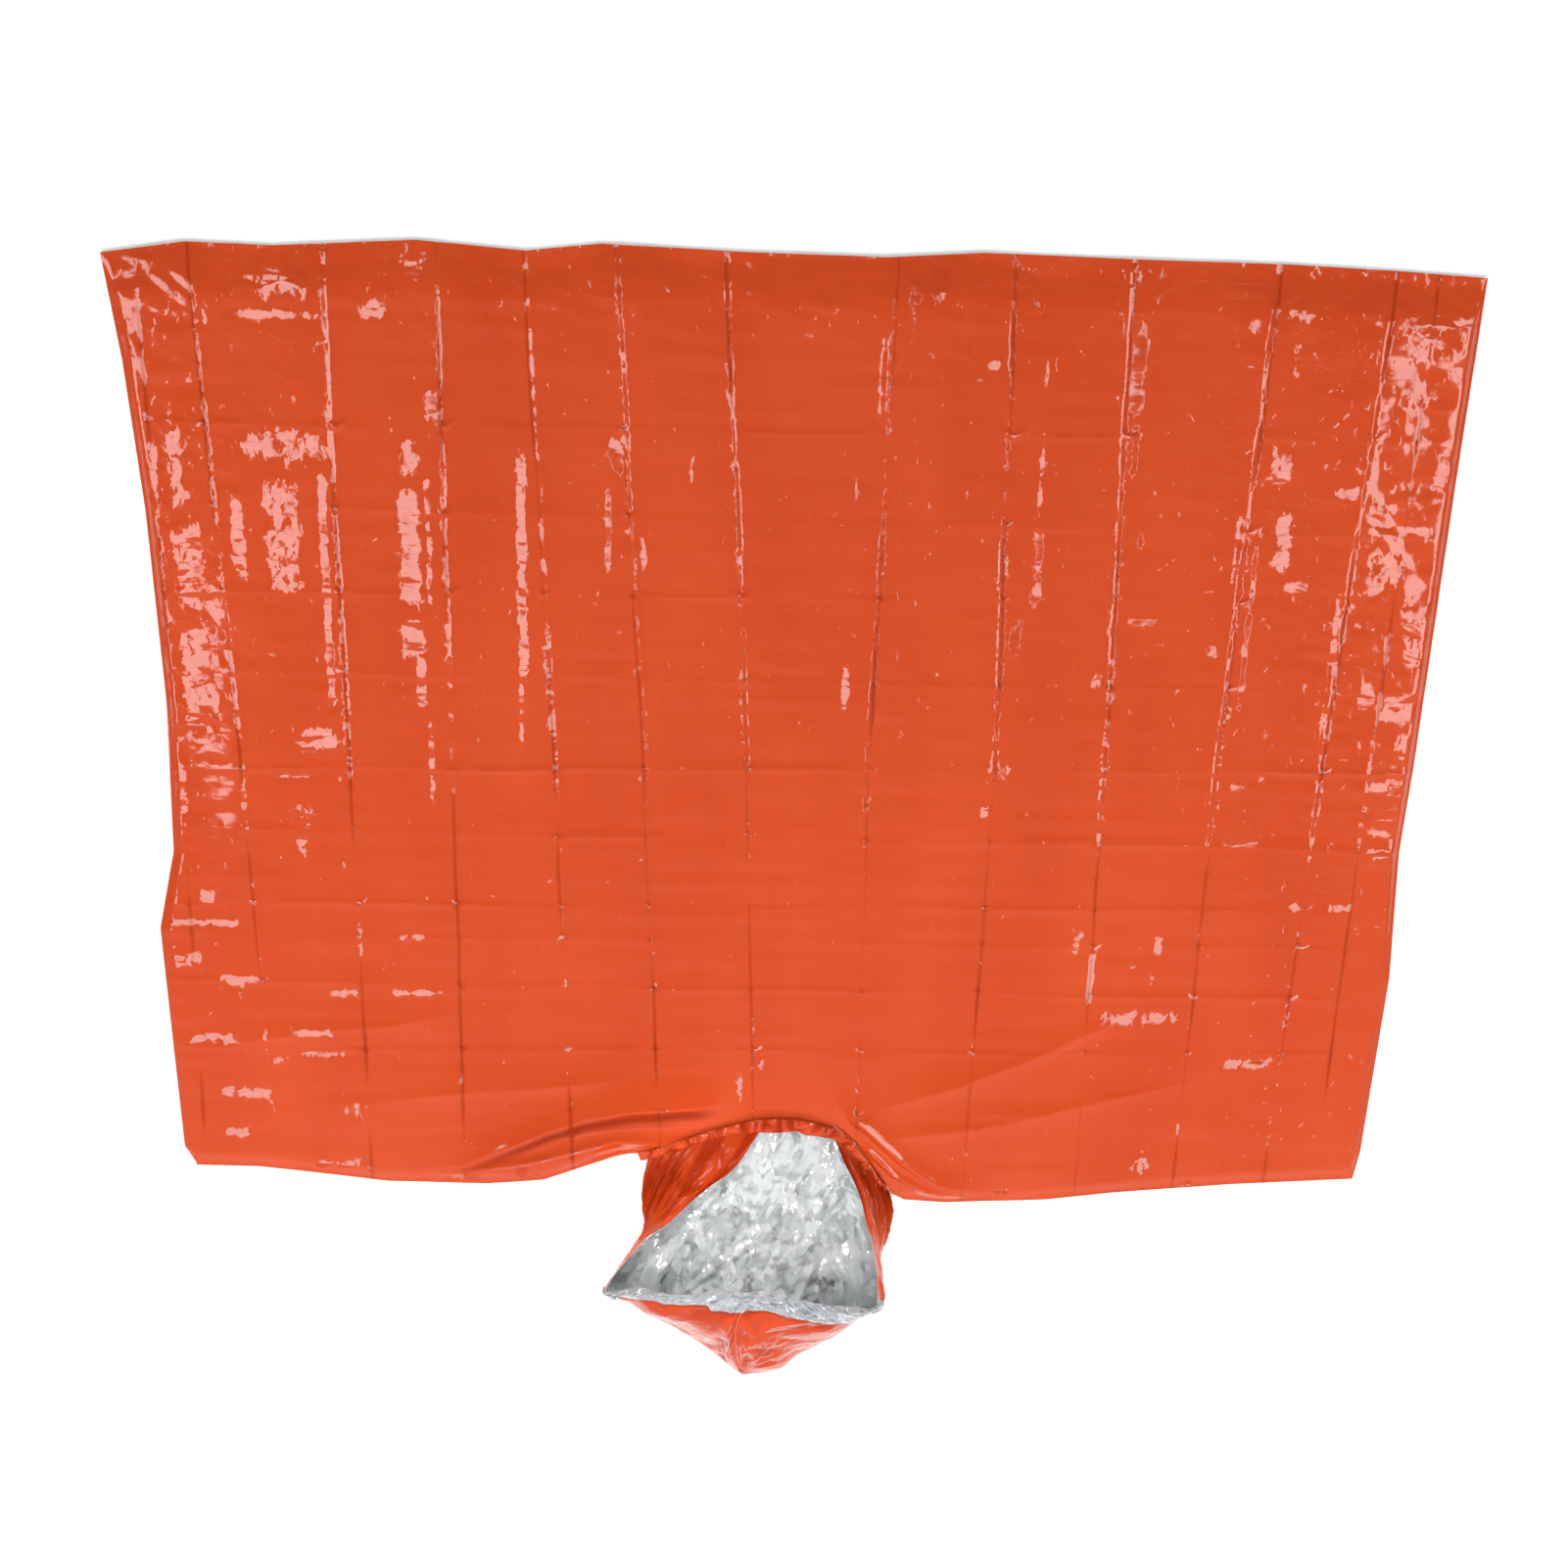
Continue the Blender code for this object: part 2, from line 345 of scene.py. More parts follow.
@dataclass(frozen=True)
class MetallisedFilm:
    """The inner face of the film: aluminium laid on in vacuum, bright and crinkled.

    The layer is too thin to have a grain of its own, so it mirrors like foil and only
    its creases scatter the light.
    """

    name: str = "vacuum_metallised_film"
    bright: str = "#F0F1F1"
    dull: str = "#D6D9D9"
    metallic: float = 0.52         # the rest scatters at the layer's fine creases
    roughness: float = 0.11
    facets_per_m: tuple = (46.0, 22.0)
    facet_lean: float = 0.50
    small_facets_per_m: tuple = (125.0, 80.0)

    def make(self) -> bpy.types.Material:
        """Build the shader.

        Returns:
            The material, which reads the film's UV map in metres.
        """
        material, shader = bare_material(self.name)
        place = add_node(material, "ShaderNodeUVMap", {"uv_map": "film"})
        cloud = add_node(material, "ShaderNodeTexNoise", {"Scale": 30.0, "Detail": 4.0},
                         {"Vector": (place, "UV")})
        tone = add_node(material, "ShaderNodeMix", {"data_type": "RGBA", 6: linear(self.dull),
                                                    7: linear(self.bright)}, {0: (cloud, "Fac")})
        large = facets(material, self.facets_per_m, self.facet_lean)
        bump = facets(material, self.small_facets_per_m, 0.6 * self.facet_lean, large)
        links = material.node_tree.links
        links.new(tone.outputs[2], shader.inputs["Base Color"])
        links.new(bump.outputs["Normal"], shader.inputs["Normal"])
        shader.inputs["Metallic"].default_value = self.metallic
        shader.inputs["Roughness"].default_value = self.roughness
        return material


@dataclass(frozen=True)
class StudioPaper:
    """Matt white background paper, which the poncho lies on."""

    name: str = "white_studio_paper"
    colour: str = "#E4E4E3"
    roughness: float = 0.9
    lit: float = 0.46           # by the lamp behind it

    def make(self) -> bpy.types.Material:
        """Build the shader.

        Returns:
            The material, with a fine grain of its own.
        """
        material, shader = bare_material(self.name)
        grain = add_node(material, "ShaderNodeTexNoise", {"Scale": 300.0, "Detail": 2.0})
        bump = add_node(material, "ShaderNodeBump", {"Strength": 0.05, "Distance": 0.0005},
                        {"Height": (grain, "Fac")})
        material.node_tree.links.new(bump.outputs["Normal"], shader.inputs["Normal"])
        shader.inputs["Base Color"].default_value = linear(self.colour)
        shader.inputs["Emission Color"].default_value = linear(self.colour)
        shader.inputs["Emission Strength"].default_value = self.lit
        shader.inputs["Roughness"].default_value = self.roughness
        return material


# ---------------------------------------------------------------- mesh work


def deselect_all() -> None:
    """Leave nothing selected, so that an operator acts only on what comes next."""
    for obj in bpy.context.selected_objects:
        obj.select_set(False)


def film_piece(name: str, place: np.ndarray, flat: np.ndarray, crease: np.ndarray,
               finishes: tuple[bpy.types.Material, bpy.types.Material],
               thickness: float = FILM_THICKNESS, handled: np.ndarray | None = None,
               tipped: np.ndarray | None = None, rim: int = 0,
               turned: bool = False) -> bpy.types.Object:
    """Shape a grid into a piece of film and give it its two faces.

    Args:
        name: the piece's name.
        place: rows by columns by three, the outer face.
        flat: rows by columns by two, where each point lies on the uncut film, in metres.
        crease: rows by columns, from 0 to 1, how deep in a crease each point is.
        finishes: the outer and the inner material.
        thickness: of the shell, inwards from the outer face.
        handled: rows by columns, from 0 to 1, how finely wrinkled by handling each point
            is; half-way everywhere if not given.
        tipped: rows by columns, the height in metres whose slope the well-handled places
            lean at; level if not given.
        rim: which of the finishes the cut edge takes.
        turned: whether the columns run the other way, so that the outer face would
            otherwise look inwards.

    Returns:
        The piece, a closed thin shell.
    """
    rows, columns = place.shape[:2]
    handled = np.full((rows, columns), 0.5) if handled is None else handled
    tipped = np.zeros((rows, columns)) if tipped is None else tipped
    if turned:
        place, flat, crease, handled, tipped = (
            layer[:, ::-1] for layer in (place, flat, crease, handled, tipped))
    deselect_all()
    bpy.ops.mesh.primitive_grid_add(x_subdivisions=columns - 1, y_subdivisions=rows - 1, size=1.0)
    piece = bpy.context.object
    piece.name = piece.data.name = name
    mesh = piece.data
    start = np.empty(len(mesh.vertices) * 3)
    mesh.vertices.foreach_get("co", start)
    start = start.reshape(-1, 3)
    column = np.rint((start[:, 0] + 0.5) * (columns - 1)).astype(int)
    row = np.rint((start[:, 1] + 0.5) * (rows - 1)).astype(int)
    mesh.vertices.foreach_set("co", place[row, column].ravel())
    corner = np.empty(len(mesh.loops), int)
    mesh.loops.foreach_get("vertex_index", corner)
    while mesh.uv_layers:
        mesh.uv_layers.remove(mesh.uv_layers[0])
    uv = mesh.uv_layers.new(name="film")
    uv.data.foreach_set("uv", flat[row, column][corner].ravel())
    for layer, value in (("crease", crease), ("handled", handled), ("tipped", tipped)):
        depth = mesh.attributes.new(layer, "FLOAT", "POINT")
        depth.data.foreach_set("value", value[row, column].astype(np.float32))
    for finish in finishes:
        mesh.materials.append(finish)
    mesh.update()
    wall = piece.modifiers.new("film", "SOLIDIFY")
    wall.thickness = thickness
    wall.offset = -1.0
    wall.material_offset = 1
    wall.material_offset_rim = rim
    bpy.ops.object.modifier_apply(modifier=wall.name)
    bpy.ops.object.shade_smooth_by_angle(angle=math.radians(65))
    return piece


def stepped(stops: list[float], fine: float, coarse: float, reach: float) -> np.ndarray:
    """Places along a line, close together near the inner stops and wider between them.

    Args:
        stops: increasing places, the first and last being the ends.
        fine: the spacing at a stop.
        coarse: the spacing away from the stops.
        reach: how far from a stop the spacing is fine.

    Returns:
        The places, stops included.
    """
    places = [stops[0]]
    for start, end in zip(stops, stops[1:]):
        near = min(reach, 0.45 * (end - start))
        knots = [start, start + near, end - near, end]
        for low, high, step in zip(knots, knots[1:], (fine, coarse, fine)):
            count = max(1, round((high - low) / step))
            places += list(np.linspace(low, high, count + 1)[1:])
    return np.array(places)


def smooth_through(points: np.ndarray, count: int) -> np.ndarray:
    """Run a smooth curve through points.

    Args:
        points: the points, along the first axis.
        count: how many places to take on the curve, evenly by point number.

    Returns:
        The places, along the first axis.
    """
    at = np.linspace(0, len(points) - 1, count)
    before = np.minimum(at.astype(int), len(points) - 2)
    t = (at - before).reshape((-1,) + (1,) * (points.ndim - 1))
    slope = np.gradient(points, axis=0)
    start, end = points[before], points[before + 1]
    out, into = slope[before], slope[before + 1]
    return ((2 * t ** 3 - 3 * t ** 2 + 1) * start + (t ** 3 - 2 * t ** 2 + t) * out
            + (3 * t ** 2 - 2 * t ** 3) * end + (t ** 3 - t ** 2) * into)


def facing(place: np.ndarray) -> np.ndarray:
    """The unit normals of a grid of places, by the right hand from columns to rows."""
    across, along = np.gradient(place, axis=1), np.gradient(place, axis=0)
    normal = np.cross(across, along)
    return normal / np.maximum(np.linalg.norm(normal, axis=-1, keepdims=True), 1e-12)


def paced(place: np.ndarray) -> np.ndarray:
    """Where each place of a grid lies on the flat film, from the lengths between places."""
    across = np.linalg.norm(np.diff(place, axis=1, prepend=place[:, :1]), axis=-1)
    along = np.linalg.norm(np.diff(place, axis=0, prepend=place[:1]), axis=-1)
    return np.stack([np.cumsum(across, axis=1), np.cumsum(along, axis=0)], axis=-1)


# ---------------------------------------------------------------- the body


class Face(Enum):
    """Which of the two films of the body."""

    FRONT = "front"
    BACK = "back"


@dataclass(frozen=True)
class LengthFold:
    """A fold that runs the length of the body, where the poncho was folded for its bag.

    hem, middle and shoulder are where it lies across the body at those places.  rise is
    its height at the hem, spread the distance between its two crests, ramp the height
    that the film comes up to on the side away from the middle, and kept the share of the
    rise that is left at the shoulder.
    """

    hem: float
    middle: float
    shoulder: float
    rise: float = 0.0030
    spread: float = 0.009
    ramp: float = 0.003
    kept: float = 0.30

    def across(self, y: np.ndarray) -> np.ndarray:
        """Where the fold lies across the body, at each place along it."""
        return np.interp(y, (-0.5, 0.0, 0.5), (self.shoulder, self.middle, self.hem))


@dataclass(frozen=True)
class CrossFold:
    """A fold across the body: where it is, how high it stands and how far it slants."""

    y: float
    rise: float
    slant: float = 0.0


LENGTH_FOLDS = (
    LengthFold(-0.607, -0.600, -0.606, rise=0.0012, spread=0.004, ramp=0.0),
    LengthFold(-0.557, -0.541, -0.530, rise=0.0036, spread=0.010, ramp=0.005),
    LengthFold(-0.436, -0.432, -0.430, rise=0.0034, spread=0.008, ramp=0.006),
    LengthFold(-0.331, -0.330, -0.329, rise=0.0034, spread=0.008, ramp=0.0065),
    LengthFold(-0.252, -0.229, -0.214, rise=0.0034, spread=0.011, ramp=0.006),
    LengthFold(-0.168, -0.141, -0.119, rise=0.0040, spread=0.012, ramp=0.005),
    LengthFold(-0.066, -0.038, -0.018, rise=0.0036, spread=0.010, ramp=0.003),
    LengthFold(0.092, 0.086, 0.090, rise=0.0042, spread=0.012, ramp=0.004),
    LengthFold(0.200, 0.212, 0.208, rise=0.0036, spread=0.010, ramp=0.004),
    LengthFold(0.310, 0.322, 0.330, rise=0.0030, spread=0.008, ramp=0.004),
    LengthFold(0.445, 0.436, 0.436, rise=0.0042, spread=0.014, ramp=0.005),
    LengthFold(0.553, 0.541, 0.535, rise=0.0034, spread=0.009, ramp=0.003),
    LengthFold(0.592, 0.588, 0.590, rise=0.0012, spread=0.004, ramp=0.0),
)


@dataclass(frozen=True)
class DragFold:
    """A slack fold across a shoulder: its crest line, rise, the lengths over which it falls
    above and below the line, how it leads in and out, and how deep the painted shade below it is."""

    line: tuple
    rise: float
    above: float
    below: float
    lead_in: float
    lead_out: float
    shade: float


DRAG_FOLDS = (
    DragFold(((-0.40, -0.500), (-0.33, -0.492), (-0.28, -0.466), (-0.24, -0.446),
              (-0.20, -0.430), (-0.15, -0.420), (-0.10, -0.416), (-0.04, -0.412)),
             0.0085, 0.030, 0.010, 0.16, 0.05, 1.0),
    DragFold(((-0.37, -0.507), (-0.31, -0.497), (-0.25, -0.484), (-0.20, -0.468),
              (-0.165, -0.458), (-0.12, -0.462), (-0.08, -0.458)),
             0.0060, 0.006, 0.007, 0.10, 0.05, 0.35),
    DragFold(((-0.24, -0.452), (-0.19, -0.443), (-0.14, -0.437), (-0.09, -0.436)),
             0.0022, 0.003, 0.003, 0.03, 0.03, 0.45),
    DragFold(((0.06, -0.405), (0.10, -0.440), (0.14, -0.482), (0.18, -0.512), (0.24, -0.530)),
             0.0060, 0.016, 0.006, 0.03, 0.08, 0.45),
    DragFold(((0.09, -0.452), (0.13, -0.498), (0.17, -0.523), (0.22, -0.533)),
             0.0040, 0.005, 0.004, 0.02, 0.04, 0.5),
    DragFold(((0.10, -0.420), (0.20, -0.385), (0.30, -0.335), (0.38, -0.290)),
             0.0032, 0.022, 0.012, 0.06, 0.08, 0.12),
    DragFold(((0.11, -0.455), (0.22, -0.440), (0.34, -0.405), (0.46, -0.372)),
             0.0030, 0.020, 0.011, 0.06, 0.10, 0.10),
    DragFold(((-0.46, -0.420), (-0.36, -0.405), (-0.26, -0.395), (-0.14, -0.378)),
             0.0026, 0.022, 0.012, 0.10, 0.08, 0.10),
    DragFold(((-0.60, -0.350), (-0.50, -0.330), (-0.40, -0.318), (-0.32, -0.300)),
             0.0022, 0.018, 0.010, 0.08, 0.08, 0.10),
)
CROSS_FOLDS = (
    CrossFold(0.345, 0.0006, 0.004),
    CrossFold(0.255, 0.0004, -0.006),
    CrossFold(0.175, 0.0006, 0.006),
    CrossFold(0.085, 0.0004, -0.004),
    CrossFold(-0.012, 0.0011, 0.012),
    CrossFold(-0.090, 0.0007, -0.006),
    CrossFold(-0.170, 0.0006, 0.008),
    CrossFold(-0.212, 0.0004, 0.0),
    CrossFold(-0.270, 0.0006, -0.005),
    CrossFold(-0.345, 0.0006, 0.006),
    CrossFold(-0.420, 0.0004, 0.0),
)


@dataclass(frozen=True)
class TippedPatch:
    """A patch of film that handling has left leaning outwards, towards a lamp.

    It lies between left and right across the body and between low and high along it.
    fray, from 0 to 1, says how broken it is.
    """

    left: float
    right: float
    low: float
    high: float
    fray: float = 0.8


# left, right, low, high and, where it is not the usual, fray
TIPPED_PATCHES = tuple(TippedPatch(*row) for row in (
    # the left edge strip, from hem to arm opening
    (-0.630, -0.606, 0.405, 0.448, 1.0), (-0.612, -0.596, 0.250, 0.328),
    (-0.592, -0.568, 0.250, 0.350, 1.0), (-0.594, -0.560, 0.148, 0.245),
    (-0.594, -0.553, 0.004, 0.140), (-0.610, -0.598, 0.004, 0.235, 1.0),
    (-0.610, -0.592, -0.080, -0.008), (-0.592, -0.552, -0.018, -0.008, 0.4),
    (-0.592, -0.572, -0.180, -0.155), (-0.628, -0.553, -0.203, -0.193, 0.5),
    (-0.628, -0.590, -0.256, -0.226, 1.0), (-0.576, -0.536, -0.273, -0.257, 0.3),
    (-0.618, -0.560, -0.346, -0.330), (-0.588, -0.530, -0.414, -0.396, 0.5),
    (-0.588, -0.556, -0.463, -0.448, 0.5),
    # the second strip
    (-0.524, -0.444, 0.462, 0.500), (-0.535, -0.436, 0.444, 0.455, 0.6),
    (-0.560, -0.538, 0.432, 0.474, 1.0), (-0.522, -0.436, 0.303, 0.342, 1.0),
    (-0.451, -0.441, 0.045, 0.300, 0.3), (-0.506, -0.466, 0.165, 0.290, 1.0),
    (-0.536, -0.520, 0.180, 0.270, 0.2), (-0.482, -0.440, -0.006, 0.030, 0.5),
    (-0.518, -0.466, -0.030, -0.018, 0.4), (-0.500, -0.468, -0.086, -0.055),
    (-0.492, -0.476, -0.118, -0.092, 0.5), (-0.530, -0.510, -0.372, -0.355),
    (-0.500, -0.446, -0.360, -0.350), (-0.506, -0.460, -0.334, -0.322, 0.4),
    (-0.470, -0.430, -0.286, -0.274), (-0.460, -0.436, -0.440, -0.412, 1.0),
    (-0.500, -0.428, -0.506, -0.486, 1.0),
    # the third strip
    (-0.404, -0.376, 0.446, 0.466, 0.3), (-0.368, -0.336, 0.480, 0.514, 1.0),
    (-0.348, -0.333, 0.342, 0.384, 0.4), (-0.374, -0.350, 0.285, 0.336, 1.0),
    (-0.377, -0.352, 0.155, 0.285, 0.5), (-0.379, -0.351, 0.100, 0.150, 0.4),
    (-0.364, -0.351, 0.046, 0.112, 0.3), (-0.351, -0.342, 0.155, 0.300, 1.0),
    (-0.353, -0.347, -0.060, 0.040, 0.2), (-0.392, -0.360, -0.216, -0.205),
    (-0.402, -0.342, -0.282, -0.273, 0.3), (-0.356, -0.312, -0.520, -0.504, 1.0),
    # the fourth to the seventh strip
    (-0.264, -0.251, 0.085, 0.322, 0.25), (-0.263, -0.258, 0.0, 0.085, 0.2),
    (-0.278, -0.246, -0.515, -0.494, 1.0), (-0.178, -0.157, 0.296, 0.335, 0.2),
    (-0.178, -0.171, 0.196, 0.290, 0.2), (-0.150, -0.136, 0.196, 0.240, 0.2),
    (-0.146, -0.134, -0.030, -0.014, 0.3), (-0.098, -0.094, 0.285, 0.328),
    (-0.040, -0.032, -0.412, -0.370, 0.3), (-0.020, -0.008, -0.378, -0.346),
    (0.054, 0.063, 0.050, 0.108, 0.2), (0.060, 0.063, 0.270, 0.310, 0.3),
    # the eighth and ninth
    (0.077, 0.088, 0.362, 0.444, 0.4), (0.118, 0.143, 0.474, 0.514, 0.3),
    (0.100, 0.116, 0.462, 0.500), (0.232, 0.240, 0.264, 0.352, 1.0),
    (0.233, 0.246, 0.165, 0.256, 0.8), (0.215, 0.231, 0.114, 0.158, 0.6),
    (0.232, 0.238, 0.388, 0.426), (0.178, 0.192, 0.408, 0.420, 0.5),
    (0.214, 0.230, -0.026, 0.002, 1.0), (0.196, 0.212, -0.064, -0.048, 0.2),
    # the tenth and eleventh
    (0.312, 0.329, 0.362, 0.456, 0.2), (0.319, 0.328, 0.300, 0.362, 0.2),
    (0.300, 0.316, 0.080, 0.102), (0.332, 0.342, 0.230, 0.252), (0.328, 0.362, 0.152, 0.160, 0.2),
    (0.410, 0.424, 0.116, 0.136), (0.427, 0.437, 0.168, 0.272, 0.3),
    (0.420, 0.434, 0.450, 0.470, 0.8), (0.322, 0.331, -0.285, -0.215, 0.3),
    (0.336, 0.424, -0.310, -0.288, 1.0), (0.386, 0.400, -0.226, -0.194),
    (0.300, 0.316, -0.228, -0.186, 1.0), (0.386, 0.412, -0.498, -0.466, 1.0),
    (0.240, 0.262, -0.528, -0.516),
    # the twelfth strip
    (0.446, 0.453, 0.055, 0.240, 0.6), (0.450, 0.478, 0.292, 0.344, 1.0),
    (0.450, 0.482, 0.458, 0.482, 1.0), (0.464, 0.484, 0.206, 0.278, 0.7),
    (0.478, 0.506, 0.189, 0.203, 0.3), (0.520, 0.547, 0.286, 0.302, 0.4),
    (0.532, 0.541, 0.004, 0.192, 0.3), (0.545, 0.552, 0.300, 0.404, 0.5),
    (0.446, 0.486, -0.092, -0.084, 0.4), (0.448, 0.466, -0.028, -0.020, 0.5),
    (0.472, 0.530, -0.362, -0.346), (0.436, 0.462, -0.520, -0.504, 1.0),
    # the right edge strip
    (0.565, 0.600, 0.420, 0.458, 0.7), (0.560, 0.630, 0.458, 0.470, 0.5),
    (0.610, 0.632, 0.400, 0.442, 0.8), (0.565, 0.600, 0.376, 0.398, 1.0),
    (0.610, 0.632, 0.290, 0.346, 0.8), (0.552, 0.620, 0.250, 0.262, 0.5),
    (0.552, 0.585, 0.270, 0.286, 0.6), (0.560, 0.596, 0.195, 0.240, 0.7),
    (0.596, 0.632, 0.150, 0.185, 1.0), (0.602, 0.632, 0.104, 0.148, 1.0),
    (0.564, 0.586, 0.062, 0.098, 0.7), (0.589, 0.630, 0.048, 0.086, 0.6),
    (0.606, 0.630, 0.002, 0.044, 1.0), (0.590, 0.628, -0.030, -0.010, 0.8),
    (0.592, 0.626, -0.080, -0.054, 0.8), (0.594, 0.628, -0.102, -0.090, 0.3),
    (0.560, 0.590, -0.170, -0.154, 1.0), (0.526, 0.540, -0.168, -0.154, 0.6),
))


@dataclass
class Relief:
    """What a set of folds adds to a film at each point.

    height is in metres, crease says from 0 to 1 how deep in a crease the point lies, which the finish
    paints as shade, and glint from 0 to 1 how surely it leans outwards, towards a lamp.
    """

    height: np.ndarray
    crease: np.ndarray
    glint: np.ndarray

    @classmethod
    def level(cls, x: np.ndarray) -> Relief:
        """Start with no folds at the points x."""
        return cls(np.zeros_like(x), np.zeros_like(x), np.zeros_like(x))


class Where(Enum):
    """Where on the body a swell lies."""

    ALL_OVER = "all over"
    HANDLED = "along the handled sides and hem"
    HEM = "along the hem"


@dataclass(frozen=True)
class Swell:
    """One layer of unevenness in the front film.

    height is how far it rises or falls, cell the size of a swell across and along the
    body, seed which field it comes from, and shift moves that field by so many cells.
    """

    height: float
    cell: tuple
    seed: int
    faceted: bool = False
    where: Where = Where.ALL_OVER
    shift: tuple = (0, 0)


FIELD_SEEDS = (11, 29, 47)  # each gives the body's films one field of unevenness
SWELLS = (
    Swell(0.0013, (0.090, 0.150), 11),
    Swell(0.0012, (0.030, 0.055), 29, True, Where.HANDLED),
    Swell(0.0006, (0.022, 0.014), 47, True, Where.HANDLED, (5, 0)),
    Swell(0.00028, (0.012, 0.007), 11, True, Where.HANDLED),
    Swell(0.00030, (0.090, 0.013), 29),
    Swell(0.0010, (0.045, 0.350), 47, shift=(3, 0)),
    Swell(0.0030, (0.075, 0.200), 47, False, Where.HEM, (0, 3)),
)
# the front film's pieces from left to right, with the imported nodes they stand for
FRONT_PIECES = {"left_edge": ["front_panel_left"], "left_side": [], "left": [],
                "centre": ["front_panel_middle"], "right": [], "right_side": [],
                "right_edge": ["front_panel_right"]}


@dataclass
class BodyFilms:
    """The front and back films of the body, as they lie after unfolding."""

    hem_line: tuple = ((-0.637, 0.503), (-0.56, 0.515), (-0.48, 0.513), (-0.35, 0.521),
                       (-0.25, 0.513), (-0.18, 0.521), (-0.05, 0.516), (0.08, 0.514),
                       (0.17, 0.520), (0.30, 0.517), (0.45, 0.515), (0.55, 0.511), (0.637, 0.506))
    left_line: tuple = ((-0.502, -0.618), (-0.48, -0.629), (-0.35, -0.632), (-0.21, -0.635),
                        (-0.12, -0.615), (0.05, -0.610), (0.25, -0.615), (0.40, -0.625),
                        (0.505, -0.637))
    right_line: tuple = ((-0.502, 0.633), (-0.47, 0.637), (-0.25, 0.641), (-0.10, 0.632),
                         (0.0, 0.634), (0.3, 0.635), (0.505, 0.637))
    shoulder_line: tuple = ((-0.62, -0.502), (-0.55, -0.503), (-0.484, -0.511), (-0.414, -0.520),
                            (-0.308, -0.522), (-0.246, -0.516), (-0.202, -0.498),
                            (-0.167, -0.484), (-0.141, -0.478), (-0.10, -0.460),
                            (-0.056, -0.443), (-0.015, -0.431), (0.025, -0.430),
                            (0.0645, -0.441), (0.088, -0.462), (0.107, -0.492), (0.124, -0.522),
                            (0.145, -0.537), (0.19, -0.540), (0.30, -0.535), (0.37, -0.525),
                            (0.50, -0.512), (0.633, -0.503))
    back_shoulder_y: float = -0.507
    front_height: float = 0.0088       # of the front film over the ground, away from its edges
    seal_height: float = 0.0030        # of the front film where it is welded to the back
    open_height: float = 0.0034        # of its free edge at the hem and the arm openings
    arm_top: float = -0.21
    neck_height: float = 0.0105        # of the front film where the hood's gathers lift it
    lowest_front: float = 0.0029       # that the front film comes, over the back film
    highest_back: float = 0.0014       # that the back film comes, under the front film
    # over these distances the film comes down to its sides, shoulders and hem
    droop: tuple = (0.010, 0.020, 0.050)
    fine_step: float = 0.0016
    coarse_step: float = 0.0025
    row_step: float = 0.0024
    fine_reach: float = 0.010          # of the fine columns to each side of a fold
    front_bend: float = 0.008          # to each side of a side crease, over which it bends
    back_bend: float = 0.014
    crest_width: float = 0.0030        # of the crests beside a lengthwise fold
    glint_width: float = 0.0034
    crease_width: float = 0.0017
    back_step: float = 0.0060
    outer_finish: bpy.types.Material | None = None
    inner_finish: bpy.types.Material | None = None
    fields: dict = field(default_factory=lambda: {seed: Crumple(seed) for seed in FIELD_SEEDS})

    def warped(self, column: np.ndarray, y: np.ndarray) -> np.ndarray:
        """Move columns laid out at the middle of the body to follow the folds and edges.

        Args:
            column: where each point would lie at the middle of the body.
            y: where it lies along the body.

        Returns:
            Where it lies across the body.
        """
        anchors = [fold.middle for fold in LENGTH_FOLDS]
        shifts = [fold.across(y) - fold.middle for fold in LENGTH_FOLDS]
        left, right = self.left_end(), self.right_end()
        anchors = np.array([left] + anchors + [right])
        shifts = [on_line(self.left_line, y) - left] + shifts
        shifts += [on_line(self.right_line, y) - right]
        stack = np.stack([np.broadcast_to(shift, y.shape) for shift in shifts])
        after = np.clip(np.searchsorted(anchors, column), 1, len(anchors) - 1)
        share = (column - anchors[after - 1]) / (anchors[after] - anchors[after - 1])
        before = np.take_along_axis(stack, (after - 1)[None], 0)[0]
        beyond = np.take_along_axis(stack, after[None], 0)[0]
        return column + before * (1 - share) + beyond * share

    def left_end(self) -> float:
        """The left edge at the middle of the body."""
        return float(on_line(self.left_line, 0.0))

    def right_end(self) -> float:
        """The right edge at the middle of the body."""
        return float(on_line(self.right_line, 0.0))

    def fold_relief(self, x: np.ndarray, y: np.ndarray) -> Relief:
        """The lengthwise folds: two crests, the crease between them, and a ramp outside.

        Args:
            x: where each point lies across the body.
            y: where it lies along the body.

        Returns:
            What they add to the film.
        """
        relief = Relief.level(x)
        first, second, third = (self.fields[seed] for seed in FIELD_SEEDS)
        for number, fold in enumerate(LENGTH_FOLDS):
            inward = -np.sign(fold.middle)
            wander = 0.0009 * first.rolling(y / 0.07 + 9 * number, y * 0 + number)
            d = x - fold.across(y) - wander
            strength = fold.kept + (1 - fold.kept) * eased((y + 0.28) / 0.36)
            waver = 0.85 + 0.22 * second.rolling(y / 0.045, y * 0 + 7.3 * number)
            rise = fold.rise * strength * waver
            gap = fold.spread / 2 * (0.9 + 0.2 * third.rolling(y / 0.06, y * 0 + number))
            gap = gap * (0.35 + 0.65 * strength)
            relief.height += 0.26 * rise * ridge(d - 0.9 * inward * gap, self.crest_width)
            relief.height -= 0.14 * rise * ridge(d, self.crest_width)
            comes = 0.70 + 0.50 * first.rolling(y / 0.055 + 3, y * 0 + 5 * number)
            comes = comes * (0.30 + 0.70 * eased((y + 0.16) / 0.16)) * min(fold.rise / 0.003, 1)
            lean = 1.15 * comes * ridge(d - 0.45 * inward * gap, self.glint_width)
            relief.glint = np.maximum(relief.glint, lean)
            outer = -d * np.sign(fold.middle)
            ramp = 0.22 * fold.ramp * strength
            relief.height += ramp * np.where(outer < 0, np.exp(outer / 0.020),
                                             np.exp(-outer / 0.006))
